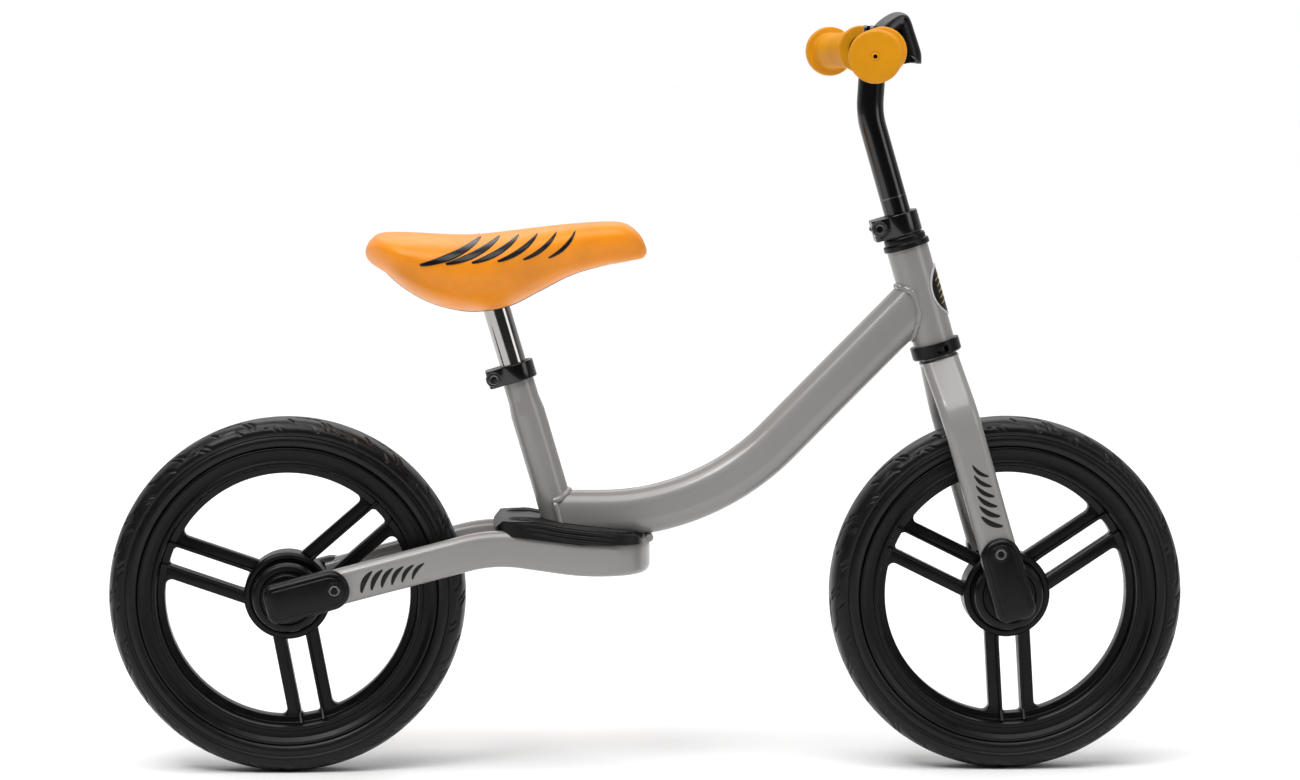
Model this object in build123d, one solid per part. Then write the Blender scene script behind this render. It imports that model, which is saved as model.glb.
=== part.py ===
"""A child's balance bike with 12-inch wheels, built as separate named pieces.

Frame: millimetres, +X forward, +Y to the bike's left, +Z up.  The origin is on the floor, in the
bike's middle plane, halfway between the axles.
"""

from build123d import *
from math import atan2, cos, degrees, hypot, radians, sin, tan
import os

# ---- overall sizes -------------------------------------------------------------------------------
WHEEL_BASE = 598.0
WHEEL_R = 147.5
HEAD_LEAN = 16.4  # degrees back from vertical
SEAT_LEAN = 16.7
FORK_DROP = 259.5  # head tube middle to front axle, along the steering axis
REAR_TYRE_FRONT = -WHEEL_BASE / 2 + WHEEL_R  # x of the rear tyre's foremost point

# ---- clearances ----------------------------------------------------------------------------------
RUNNING_GAP = 0.05  # radial, shaft in bore
LOOSE_GAP = 0.3  # faces that move past each other
MOULD_GAP = 0.25  # plastic cover round a tube

# ---- head tube, cups and steering ----------------------------------------------------------------
BAR_R = 11.1  # stem and crossbar
STEERER_BORE_R = BAR_R + RUNNING_GAP
STEERER_R = STEERER_BORE_R + 1.55
HEAD_TUBE_BORE_R = STEERER_R + 3.15
HEAD_TUBE_R = HEAD_TUBE_BORE_R + 1.5
HEAD_TUBE_LENGTH = 82.4
NECK_R = STEERER_R + 1.6
NECK_LENGTH = 14.0
CUP_SPIGOT = 12.0
UPPER_CUP_R = HEAD_TUBE_R + 2.15
UPPER_CUP_HEIGHT = 10.5
UPPER_CUP_DOME = 5.0
LOWER_CUP_R = HEAD_TUBE_R + 3.45
LOWER_CUP_HEIGHT = 11.0
LOWER_CUP_ROOF = 3.5
RACE_R = STEERER_R + 3.3
RACE_POCKET_GAP = 0.5
STOP_LUG_REACH = 2.4  # beyond the race
STOP_LUG_HALF_ANGLE = 6.0
STEER_LIMIT = 45.0
STOP_LUG_AZIMUTH = -80.0  # degrees from forward; the window faces the bike's right side
STOP_WINDOW_WIDTH = 10.0
STOP_WINDOW_HEIGHT = 5.0

# ---- tube frame ----------------------------------------------------------------------------------
MAIN_TUBE_HEIGHT = 39.5
MAIN_TUBE_WIDTH = 32.0
MAIN_TUBE_CORNER_R = 14.0
MAIN_TUBE_WALL = 1.6
MAIN_TUBE_SLOPE = 45.5  # degrees above horizontal on its straight run
MAIN_TUBE_BEND_R = 205.0
MAIN_TUBE_LOW_Z = WHEEL_R + 66.25  # height of the level run's centre
SEAT_AXIS_X = REAR_TYRE_FRONT + 76.3  # where the seat tube axis crosses the level run's centre
HEAD_JOINT_OFFSET = -1.0  # main tube centre line to head tube middle, along the head tube

POST_R = 11.1
SEAT_TUBE_TOP_R = POST_R + 1.8
SEAT_TUBE_R = SEAT_TUBE_TOP_R + 1.4
SEAT_TUBE_LENGTH = 129.0
SWAGE_START = 88.0
SWAGE_END = 100.0

STAY_Y = 43.0
STAY_HEIGHT = 30.0
STAY_THICKNESS = 15.0
STAY_WALL = 1.6
STAY_CREST_X = REAR_TYRE_FRONT + 22.5
STAY_CREST_Z = WHEEL_R + 44.5
STAY_DIP_X = REAR_TYRE_FRONT + 93.5
STAY_DIP_Z = WHEEL_R + 34.0
STAY_CREST_R = 120.0
STAY_DIP_R = 200.0
STAY_FRONT_X = REAR_TYRE_FRONT + 145.0  # centre line of the cross run of the U
STAY_CORNER_R = 36.5
TUBE_END_FROM_AXLE = 34.0  # where a stay or fork blade stops short of the axle

BRIDGE_THICKNESS = 4.0
BRIDGE_TOP_Z = STAY_DIP_Z + 6.5
BRIDGE_REAR_X = REAR_TYRE_FRONT + 39.5
BRIDGE_FRONT_X = REAR_TYRE_FRONT + 95.5

# ---- wheels --------------------------------------------------------------------------------------
TYRE_HALF_WIDTH = 23.0
RIM_FLANGE_R = WHEEL_R - 24.0
TYRE_SEAT_R = RIM_FLANGE_R - 6.5
RIM_HALF_WIDTH = 22.0
RIM_LIP_R = RIM_FLANGE_R - 13.5
WEB_RING_R = RIM_LIP_R - 8.8
WEB_HALF_THICKNESS = 4.0
SPOKE_WIDTH = 11.0
SPOKE_GAP = 16.0
SPOKE_HALF_DEPTH = 8.5
SPOKE_CORNER_R = 6.5
REAR_SPOKE_ANGLES = (-79.0, 161.0, 41.0)
FRONT_SPOKE_ANGLES = (-86.3, 153.7, 33.7)
HUB_R = 35.5
HUB_HALF_WIDTH = 17.0
HUB_BORE_R = 8.0
HUB_CAP_R = 28.8
HUB_CAP_DEPTH = 14.0
HUB_CAP_WALL = 2.5
HUB_CAP_HOLE_R = 7.5
BEARING_R = 11.0
BEARING_WIDTH = 7.0
AXLE_R = 4.0
AXLE_THREAD_OUT = 2.0  # axle beyond its nuts
AXLE_SPACER_R = 6.0
AXLE_NUT_ACROSS = 13.0
AXLE_NUT_HEIGHT = 6.5
AXLE_WASHER_R = 9.0
AXLE_WASHER_THICKNESS = 1.6

# ---- dropouts and axle covers --------------------------------------------------------------------
DROPOUT_THICKNESS = 5.0
DROPOUT_WIDTH = 24.0
DROPOUT_TANG = 62.0  # from the axle, up inside the tube
COVER_BEHIND_AXLE = 17.5
COVER_AHEAD_OF_AXLE = 52.5
COVER_WIDTH = 32.5
COVER_REAR_CORNER_R = 9.0
COVER_FRONT_CORNER_R = 15.5
COVER_WALL = 2.0
COVER_BEVEL = 3.0
COVER_INNER_Y = STAY_Y - 5.5
COVER_SCREW_FROM_AXLE = 40.5
COVER_SCREW_R = 2.5
COVER_SCREW_HEAD_R = 5.0
COVER_SCREW_HEAD = 4.0
COVER_SCREW_LENGTH = 16.0

# ---- fork ----------------------------------------------------------------------------------------
BLADE_DEPTH = 31.0  # fore and aft
BLADE_THICKNESS = 15.0
BLADE_WALL = 1.6
BLADE_Y = STAY_Y
BLADE_TOP_Y = 9.0
BLADE_TOP_BELOW_CUP = 3.0
BLADE_SHOULDER_DROP = 45.0  # below the blade's top, where it turns straight down
BLADE_BEND_R = 45.0
CROWN_GAP = 1.0  # between the two blade roots

# ---- clamps --------------------------------------------------------------------------------------
CLAMP_HEIGHT = 15.0
CLAMP_WALL = 3.6
CLAMP_EAR_HALF_WIDTH = 9.0
CLAMP_EAR_REACH = 24.3
CLAMP_SLIT = 2.4
CLAMP_BOLT_FROM_AXIS = 19.8
CLAMP_BOLT_R = 3.0
CLAMP_BOLT_HEAD_R = 5.0
CLAMP_BOLT_HEAD = 5.5
CLAMP_NUT_ACROSS = 10.0
CLAMP_NUT_HEIGHT = 5.0
SOCKET_ACROSS = 5.0
SOCKET_DEPTH = 3.0
CLAMP_GAP = 3.8  # bare steerer between the upper cup and the handlebar clamp
SEAT_CLAMP_PROUD = 2.0  # clamp above the seat tube's end

# ---- handlebar -----------------------------------------------------------------------------------
BAR_WALL = 1.8
STEM_INSERT = 75.0  # stem below the clamp's top
STEM_BEND_S = 156.0  # bend above the head tube's middle, along the steering axis
STEM_TOP_LENGTH = 53.2
STEM_TOP_LEAN = 3.3  # degrees forward of vertical
STEM_BEND_R = 70.0
BAR_HALF_WIDTH = 190.0
BAR_STRAIGHT_HALF = 72.0
BAR_SWEEP_BACK = 19.0
BAR_DROP = 3.5
BAR_BEND_R = 60.0
GRIP_LENGTH = 110.0
GRIP_BODY_R = BAR_R + 4.1
GRIP_END_R = 21.4
GRIP_END_THICKNESS = 6.5
GRIP_FLANGE_R = 20.0
GRIP_FLANGE_THICKNESS = 4.5
GRIP_WALL = 4.0
GRIP_HOLE_R = 1.6
SHIELD_HALF_WIDTH = 45.0
SHIELD_RIB_Y = 26.0
SHIELD_RIB_WIDTH = 7.0
SHIELD_CLIP_WALL = 3.5
SHIELD_SCREW_R = 1.5
SHIELD_SCREW_HEAD_R = 3.0
SHIELD_SCREW_HEAD = 2.0

# ---- saddle --------------------------------------------------------------------------------------
POST_WALL = 1.6
POST_INSERT = 80.0
POST_SOCKET_DEPTH = 26.0
SADDLE_SOCKET_R = POST_R + 5.4
SADDLE_LENGTH = 233.0
SADDLE_REAR_X = SEAT_AXIS_X - 159.8
SADDLE_WIDTH = 142.0
SADDLE_UNDERSIDE_S = 177.0  # underside at the post, along the seat axis
# share of length, middle's height over the level run, height, share of width
SADDLE_SECTIONS = (
    (0.000, 222.75, 12.0, 0.36),
    (0.070, 216.75, 34.0, 0.76),
    (0.190, 208.75, 49.5, 0.95),
    (0.350, 200.75, 63.0, 1.00),
    (0.500, 203.75, 62.5, 0.86),
    (0.640, 214.25, 49.0, 0.62),
    (0.780, 222.75, 39.0, 0.43),
    (0.910, 226.25, 33.0, 0.34),
    (1.000, 223.25, 20.0, 0.22),
)
SADDLE_PAN_SHARE = 0.62

# ---- footrest ------------------------------------------------------------------------------------
FOOTREST_REAR_X = REAR_TYRE_FRONT + 23.5
FOOTREST_FRONT_X = STAY_FRONT_X + 0.5
FOOTREST_REAR_TOP_Z = STAY_CREST_Z + 21.0
FOOTREST_MIDDLE_TOP_Z = STAY_DIP_Z + 26.5
FOOTREST_FRONT_TOP_Z = STAY_DIP_Z + 19.5
FOOTREST_LAP = 3.0  # how far it reaches down the outside of the stays
FOOTREST_PROUD = 1.5  # beyond the stays' outside
FOOTREST_CORNER_R = 22.0
FOOTREST_SCREW_X = BRIDGE_REAR_X + 8.0
FOOTREST_SCREW_Y = 24.0
FOOTREST_SCREW_R = 2.5
FOOTREST_SCREW_LENGTH = 14.0
FOOTREST_SCREW_HEAD_R = 4.5
FOOTREST_SCREW_HEAD = 3.0
FOOTREST_TUBE_GAP = 0.5

# ---- worked out ----------------------------------------------------------------------------------
CENTRE = (Align.CENTER, Align.CENTER, Align.CENTER)
UP = (Align.CENTER, Align.CENTER, Align.MIN)
REAR_AXLE = (-WHEEL_BASE / 2, 0.0, WHEEL_R)
FRONT_AXLE = (WHEEL_BASE / 2, 0.0, WHEEL_R)
HEAD = Pos(*FRONT_AXLE) * Rot(0, -HEAD_LEAN, 0) * Pos(0, 0, FORK_DROP)
SEAT = Pos(SEAT_AXIS_X, 0, MAIN_TUBE_LOW_Z) * Rot(0, -SEAT_LEAN, 0)
STAY_ANGLE = degrees(atan2(STAY_CREST_Z - WHEEL_R, STAY_CREST_X - REAR_AXLE[0]))
HEAD_TOP = HEAD_TUBE_LENGTH / 2
HEAD_BOTTOM = -HEAD_TUBE_LENGTH / 2
LOWER_CUP_BOTTOM = HEAD_BOTTOM - LOWER_CUP_HEIGHT
CLAMP_BOTTOM = HEAD_TOP + UPPER_CUP_HEIGHT + CLAMP_GAP
CLAMP_TOP = CLAMP_BOTTOM + CLAMP_HEIGHT
SEAT_CLAMP_BOTTOM = SEAT_TUBE_LENGTH + SEAT_CLAMP_PROUD - CLAMP_HEIGHT
BLADE_TOP = LOWER_CUP_BOTTOM - BLADE_TOP_BELOW_CUP
DROPOUT_OUTSIDE = STAY_Y + DROPOUT_THICKNESS / 2
NUT_OUTSIDE = DROPOUT_OUTSIDE + AXLE_WASHER_THICKNESS + AXLE_NUT_HEIGHT
AXLE_HALF_LENGTH = NUT_OUTSIDE + AXLE_THREAD_OUT
COVER_OUTER_Y = AXLE_HALF_LENGTH + 1.0 + COVER_WALL

NODES = {}


def point(place, x=0.0, y=0.0, z=0.0):
    """A local point of a place, as a vector in the bike's frame."""
    return (place * Pos(x, y, z)).position


def rod(radius, length, bore=0.0):
    """A round bar or tube standing on the local origin, along +Z."""
    bar = Cylinder(radius, length, align=UP)
    if bore > 0:
        bar -= Cylinder(bore, length, align=UP)
    return bar


def cross_rod(radius, start_y, end_y, bore=0.0):
    """A round bar or tube along Y, between two Y values."""
    low, high = sorted((start_y, end_y))
    return Pos(0, low, 0) * Rot(-90, 0, 0) * rod(radius, high - low, bore)


def cross_hex(across, start_y, end_y):
    """A hexagonal bar along Y, between two Y values, by its size across flats."""
    low, high = sorted((start_y, end_y))
    face = RegularPolygon(across / 2, 6, major_radius=False)
    return Pos(0, low, 0) * Rot(-90, 0, 0) * extrude(face, high - low)


def turned(points):
    """A solid turned about the local Y axis from (radius, y) points."""
    face = make_face(Polyline(*points, close=True))
    return revolve(face, Axis.Y)


def side_plate(points, half_width):
    """A plate from (x, z) points, as thick as the width across the bike."""
    face = make_face(Polyline(*points, close=True))
    return extrude(Plane.XZ * face, half_width, both=True)


def mirrored(shape):
    """The same piece on the bike's other side."""
    return mirror(shape, about=Plane.XZ)


def oval_face(height, width, corner):
    """A flat-sided oval, its height along the local Y axis."""
    limit = min(height, width) / 2 - 0.01
    return RectangleRounded(width, height, min(corner, limit))


def swept(path, height, width, corner, upright):
    """A flat-sided oval bar along a path; `upright` is the direction of its height at the start."""
    start = path @ 0
    along = path % 0
    section = Plane(origin=start, x_dir=Vector(*upright).cross(along), z_dir=along)
    return sweep(section * oval_face(height, width, corner), path=path)


def oval_tube(path, height, width, corner, wall, upright):
    """A hollow flat-sided oval tube along a path."""
    outside = swept(path, height, width, corner, upright)
    inside = swept(path, height - 2 * wall, width - 2 * wall, corner - wall, upright)
    return outside - inside


def keep(name, *solids):
    """Registers a piece, as one solid or as a group of separate solids."""
    shapes = [solid for shape in solids for solid in shape.solids()]
    NODES[name] = shapes[0] if len(shapes) == 1 else Compound(children=shapes)


# ---- frame ---------------------------------------------------------------------------------------
def stay_path():
    """Centre line of the single tube that makes both rear stays and the U in front."""
    right = [
        Pos(*REAR_AXLE) * Rot(0, -STAY_ANGLE, 0) * Pos(TUBE_END_FROM_AXLE, -STAY_Y, 0),
        Pos(STAY_CREST_X, -STAY_Y, STAY_CREST_Z),
        Pos(STAY_DIP_X, -STAY_Y, STAY_DIP_Z),
        Pos(STAY_FRONT_X, -STAY_Y, STAY_DIP_Z),
    ]
    points = [tuple(place.position) for place in right]
    points += [(x, -y, z) for x, y, z in reversed(points)]
    radii = [STAY_CREST_R, STAY_DIP_R, STAY_CORNER_R]
    return FilletPolyline(*points, radius=radii + radii[::-1])


def stay_solid(grow=0.0):
    """The stays' outside shape, made larger all round by `grow`."""
    height = STAY_HEIGHT + 2 * grow
    width = STAY_THICKNESS + 2 * grow
    return swept(stay_path(), height, width, width / 2, (0, 0, 1))


def main_tube_path():
    """Centre line from inside the seat tube, round the bend, to inside the head tube."""
    slope = radians(MAIN_TUBE_SLOPE)
    head_point = point(HEAD, 0, 0, HEAD_JOINT_OFFSET)
    corner_x = head_point.X - (head_point.Z - MAIN_TUBE_LOW_Z) / tan(slope)
    return FilletPolyline(
        (SEAT_AXIS_X, 0, MAIN_TUBE_LOW_Z),
        (corner_x, 0, MAIN_TUBE_LOW_Z),
        tuple(head_point),
        radius=MAIN_TUBE_BEND_R,
    )


def main_tube_solid(grow=0.0):
    height = MAIN_TUBE_HEIGHT + 2 * grow
    width = MAIN_TUBE_WIDTH + 2 * grow
    return swept(main_tube_path(), height, width, MAIN_TUBE_CORNER_R + grow, (0, 0, 1))


def seat_tube_solid(grow=0.0):
    """The seat tube's outside, from below the bridge up to its swaged top."""
    below = (MAIN_TUBE_LOW_Z - BRIDGE_TOP_Z) / cos(radians(SEAT_LEAN)) + SEAT_TUBE_R
    base = Pos(0, 0, -below) * rod(SEAT_TUBE_R + grow, below + SWAGE_START)
    cone = Cone(
        SEAT_TUBE_R + grow, SEAT_TUBE_TOP_R + grow, SWAGE_END - SWAGE_START, align=UP
    )
    top = rod(SEAT_TUBE_TOP_R + grow, SEAT_TUBE_LENGTH - SWAGE_END)
    shape = base + Pos(0, 0, SWAGE_START) * cone + Pos(0, 0, SWAGE_END) * top
    return SEAT * shape


def make_frame():
    head = rod(HEAD_TUBE_R, HEAD_TUBE_LENGTH, HEAD_TUBE_BORE_R)
    keep("head_tube", HEAD * Pos(0, 0, HEAD_BOTTOM) * head)

    stay = oval_tube(
        stay_path(), STAY_HEIGHT, STAY_THICKNESS, STAY_THICKNESS / 2, STAY_WALL, (0, 0, 1)
    )
    for side in (-1, 1):
        hole = Pos(COVER_SCREW_FROM_AXLE, 0, 0) * cross_rod(
            COVER_SCREW_R + LOOSE_GAP, side * STAY_Y, side * (STAY_Y + STAY_THICKNESS)
        )
        stay -= rear_end() * hole
    keep("rear_stay", stay)

    seat_outside = seat_tube_solid()
    bore = POST_R + RUNNING_GAP
    floor = (MAIN_TUBE_LOW_Z - BRIDGE_TOP_Z) / cos(radians(SEAT_LEAN)) + SEAT_TUBE_R
    seat = seat_outside - SEAT * Pos(0, 0, -floor) * rod(bore, floor + SEAT_TUBE_LENGTH)
    below = Box(8 * SEAT_TUBE_R, 4 * SEAT_TUBE_R, 60, align=(Align.CENTER, Align.CENTER, Align.MAX))
    seat -= Pos(SEAT_AXIS_X, 0, BRIDGE_TOP_Z) * below
    slit = Pos(-SEAT_TUBE_TOP_R, 0, SEAT_TUBE_LENGTH) * Box(
        SEAT_TUBE_TOP_R * 2, CLAMP_SLIT, 2 * CLAMP_HEIGHT + 12
    )
    seat -= SEAT * slit
    keep("seat_tube", seat)

    main = oval_tube(
        main_tube_path(),
        MAIN_TUBE_HEIGHT,
        MAIN_TUBE_WIDTH,
        MAIN_TUBE_CORNER_R,
        MAIN_TUBE_WALL,
        (0, 0, 1),
    )
    head_outside = HEAD * Pos(0, 0, -HEAD_TUBE_LENGTH) * rod(HEAD_TUBE_R, 2 * HEAD_TUBE_LENGTH)
    main = main - head_outside - seat_outside - stay_solid()
    keep("main_tube", max(main.solids(), key=lambda s: s.volume))

    inside = STAY_Y - STAY_THICKNESS / 2
    plate = Pos((BRIDGE_REAR_X + BRIDGE_FRONT_X) / 2, 0, BRIDGE_TOP_Z) * Box(
        BRIDGE_FRONT_X - BRIDGE_REAR_X,
        2 * inside + 4,
        BRIDGE_THICKNESS,
        align=(Align.CENTER, Align.CENTER, Align.MAX),
    )
    plate -= stay_solid()
    plate -= footrest_screw_places(COVER_SCREW_R + LOOSE_GAP, BRIDGE_TOP_Z - 20, BRIDGE_TOP_Z + 1)
    keep("stay_bridge", max(plate.solids(), key=lambda s: s.volume))


def footrest_screw_places(radius, low, high):
    """Two upright bars where the footrest's screws are."""
    bars = [
        Pos(FOOTREST_SCREW_X, side * FOOTREST_SCREW_Y, low) * rod(radius, high - low)
        for side in (-1, 1)
    ]
    return bars[0] + bars[1]


def make_footrest():
    """One moulding that sits on both stays, round the seat tube and under the main tube."""
    low = STAY_DIP_Z
    outline = side_plate(
        (
            (FOOTREST_REAR_X, low),
            (FOOTREST_REAR_X, FOOTREST_REAR_TOP_Z - 6),
            (FOOTREST_REAR_X + 6, FOOTREST_REAR_TOP_Z),
            (FOOTREST_REAR_X + 30, FOOTREST_REAR_TOP_Z),
            (FOOTREST_REAR_X + 58, FOOTREST_MIDDLE_TOP_Z),
            (FOOTREST_FRONT_X - 8, FOOTREST_FRONT_TOP_Z),
            (FOOTREST_FRONT_X, FOOTREST_FRONT_TOP_Z - 4),
            (FOOTREST_FRONT_X, low),
        ),
        STAY_Y + STAY_THICKNESS / 2 + FOOTREST_PROUD,
    )
    length = FOOTREST_FRONT_X - FOOTREST_REAR_X
    width = 2 * (STAY_Y + STAY_THICKNESS / 2 + FOOTREST_PROUD)
    plan = RectangleRounded(length, width, FOOTREST_CORNER_R)
    middle_x = (FOOTREST_FRONT_X + FOOTREST_REAR_X) / 2
    shape = outline & extrude(Pos(middle_x, 0, low - 5) * plan, 60)
    # the underside: nothing below the lap outside the stays, and open between them
    top_drop = STAY_HEIGHT / 2 - FOOTREST_LAP
    under = side_plate(
        (
            (FOOTREST_REAR_X - 10, low - 10),
            (FOOTREST_REAR_X - 10, STAY_CREST_Z + top_drop - 2),
            (STAY_CREST_X, STAY_CREST_Z + top_drop - 2),
            (STAY_DIP_X, STAY_DIP_Z + top_drop),
            (FOOTREST_FRONT_X + 10, STAY_DIP_Z + top_drop),
            (FOOTREST_FRONT_X + 10, low - 10),
        ),
        width,
    )
    shape -= under
    shape -= stay_solid(MOULD_GAP)
    shape -= main_tube_solid(FOOTREST_TUBE_GAP)
    shape -= seat_tube_solid(FOOTREST_TUBE_GAP)
    body = max(shape.solids(), key=lambda s: s.volume)
    bosses = footrest_screw_places(FOOTREST_SCREW_HEAD_R, BRIDGE_TOP_Z, FOOTREST_REAR_TOP_Z - 5)
    body += bosses
    screw_low = BRIDGE_TOP_Z - BRIDGE_THICKNESS
    body -= footrest_screw_places(
        FOOTREST_SCREW_R, screw_low, screw_low + FOOTREST_SCREW_LENGTH
    )
    keep("footrest", body)
    shanks = [
        Pos(FOOTREST_SCREW_X, side * FOOTREST_SCREW_Y, screw_low)
        * (
            rod(FOOTREST_SCREW_R, FOOTREST_SCREW_LENGTH)
            + Pos(0, 0, -FOOTREST_SCREW_HEAD) * rod(FOOTREST_SCREW_HEAD_R, FOOTREST_SCREW_HEAD)
        )
        for side in (-1, 1)
    ]
    keep("footrest_screws", *shanks)


# ---- ends of the stays and of the fork -----------------------------------------------------------
def rear_end():
    """The rear axle, with local +X up along the stays."""
    return Pos(*REAR_AXLE) * Rot(0, -STAY_ANGLE, 0)


def front_end():
    """The front axle, with local +X up along the fork blades."""
    return Pos(*FRONT_AXLE) * Rot(0, -HEAD_LEAN - 90, 0)


def dropout():
    """A flat steel end for a tube, with the axle hole and the cover screw's thread."""
    length = DROPOUT_TANG + DROPOUT_WIDTH / 2
    middle = (DROPOUT_TANG - DROPOUT_WIDTH / 2) / 2
    face = Pos(middle, 0, 0) * RectangleRounded(length, DROPOUT_WIDTH, DROPOUT_WIDTH / 2 - 0.5)
    plate = extrude(Plane.XZ * face, DROPOUT_THICKNESS / 2, both=True)
    plate -= cross_rod(AXLE_R, -DROPOUT_THICKNESS, DROPOUT_THICKNESS)
    plate -= Pos(COVER_SCREW_FROM_AXLE, 0, 0) * cross_rod(
        COVER_SCREW_R, -DROPOUT_THICKNESS, DROPOUT_THICKNESS
    )
    return Pos(0, -STAY_Y, 0) * plate


def cover_outline(shrink=0.0):
    """The cover's side view, with tighter corners at the axle end, moved in by `shrink`."""
    behind = COVER_BEHIND_AXLE - shrink
    ahead = COVER_AHEAD_OF_AXLE - shrink
    half = COVER_WIDTH / 2 - shrink
    face = make_face(
        Polyline((-behind, -half), (ahead, -half), (ahead, half), (-behind, half), close=True)
    )
    rear = [v for v in face.vertices() if v.X < 0]
    face = fillet(rear, COVER_REAR_CORNER_R - shrink / 2)
    front = [v for v in face.vertices() if v.X > ahead - 0.01]
    return fillet(front, min(COVER_FRONT_CORNER_R - shrink / 2, half - 0.2))


def axle_cover(tube_height, tube_thickness, tube_corner):
    """The right-hand plastic cover over a tube end, its dropout and its axle nut."""
    depth = COVER_OUTER_Y - COVER_INNER_Y
    body = Pos(0, -COVER_INNER_Y, 0) * extrude(Plane.XZ * cover_outline(), depth)
    outer = body.faces().sort_by(Axis.Y)[0]
    body = chamfer(outer.edges(), COVER_BEVEL)
    # hollow round the dropout and the nut
    hollow_ahead = TUBE_END_FROM_AXLE - 2
    hollow = cover_outline(COVER_WALL) & Pos(-20 + hollow_ahead / 2, 0) * Rectangle(
        hollow_ahead + 40, COVER_WIDTH
    )
    inner_depth = depth - COVER_WALL - COVER_BEVEL / 3
    body -= Pos(0, -COVER_INNER_Y, 0) * extrude(Plane.XZ * hollow, inner_depth)
    # room for the tube and the flat end inside it
    clear_height = tube_height + 2 * MOULD_GAP
    clear_thickness = tube_thickness + 2 * MOULD_GAP
    section = oval_face(clear_height, clear_thickness, tube_corner + MOULD_GAP)
    tunnel = extrude(Plane.YZ * section, COVER_AHEAD_OF_AXLE + 20)
    body -= Pos(TUBE_END_FROM_AXLE - 2, -STAY_Y, 0) * tunnel
    body -= Pos(COVER_SCREW_FROM_AXLE, 0, 0) * cross_rod(COVER_SCREW_R, -STAY_Y, -COVER_OUTER_Y)
    body -= Pos(COVER_SCREW_FROM_AXLE, 0, 0) * cross_rod(
        COVER_SCREW_HEAD_R, -COVER_OUTER_Y + COVER_SCREW_HEAD / 2, -COVER_OUTER_Y - 1
    )
    return max(body.solids(), key=lambda s: s.volume)


def socket_screw(radius, length, head_radius, head_height, head_y):
    """A socket screw along +Y, its head's outer face at `head_y` and pointing to -Y."""
    head = cross_rod(head_radius, head_y, head_y + head_height)
    shank = cross_rod(radius, head_y + head_height, head_y + head_height + length)
    return head + shank - cross_hex(SOCKET_ACROSS, head_y - 1, head_y + SOCKET_DEPTH)


def make_axle_end(prefix, end, tube_height, tube_thickness, body_dropout_names):
    """Everything at one axle that does not turn: dropouts, axle, nuts, spacers and covers."""
    right_name, left_name = body_dropout_names
    flat = end * dropout()
    keep(right_name, flat)
    keep(left_name, mirrored(flat))

    axle = end * cross_rod(AXLE_R, -AXLE_HALF_LENGTH, AXLE_HALF_LENGTH)
    keep(prefix + "_axle", axle)
    washer = end * cross_rod(
        AXLE_WASHER_R, -DROPOUT_OUTSIDE, -DROPOUT_OUTSIDE - AXLE_WASHER_THICKNESS, AXLE_R
    )
    keep(prefix + "_axle_washers", washer, mirrored(washer))
    nut = cross_hex(AXLE_NUT_ACROSS, -NUT_OUTSIDE, -NUT_OUTSIDE + AXLE_NUT_HEIGHT)
    nut -= cross_rod(AXLE_R, -NUT_OUTSIDE - 1, 0)
    nut = end * nut
    keep(prefix + "_axle_nuts", nut, mirrored(nut))
    spacer = end * cross_rod(
        AXLE_SPACER_R,
        -HUB_HALF_WIDTH - LOOSE_GAP,
        -STAY_Y + DROPOUT_THICKNESS / 2,
        AXLE_R,
    )
    keep(prefix + "_axle_spacers", spacer, mirrored(spacer))

    cover = end * axle_cover(tube_height, tube_thickness, tube_thickness / 2)
    keep(prefix + "_axle_cover_right", cover)
    keep(prefix + "_axle_cover_left", mirrored(cover))
    screw = Pos(COVER_SCREW_FROM_AXLE, 0, 0) * socket_screw(
        COVER_SCREW_R,
        COVER_SCREW_LENGTH - COVER_SCREW_HEAD,
        COVER_SCREW_HEAD_R,
        COVER_SCREW_HEAD,
        -COVER_OUTER_Y + COVER_SCREW_HEAD / 2 - COVER_SCREW_HEAD,
    )
    screw = end * screw
    keep(prefix + "_cover_screws", screw, mirrored(screw))


# ---- wheels --------------------------------------------------------------------------------------
def rim_profile():
    """Half of the rim's section, then its mirror image, as (radius, y) points."""
    half = [
        (WEB_RING_R, WEB_HALF_THICKNESS),
        (WEB_RING_R + 3.0, WEB_HALF_THICKNESS + 1.0),
        (RIM_LIP_R, RIM_HALF_WIDTH - 2.0),
        (RIM_LIP_R + 1.0, RIM_HALF_WIDTH - 1.0),
        (RIM_FLANGE_R - 2.5, RIM_HALF_WIDTH),
        (RIM_FLANGE_R, RIM_HALF_WIDTH - 1.0),
        (RIM_FLANGE_R, RIM_HALF_WIDTH - 3.0),
        (TYRE_SEAT_R + 2.0, RIM_HALF_WIDTH - 5.0),
        (TYRE_SEAT_R, RIM_HALF_WIDTH - 8.0),
    ]
    return half, [(r, -y) for r, y in reversed(half)]


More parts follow.
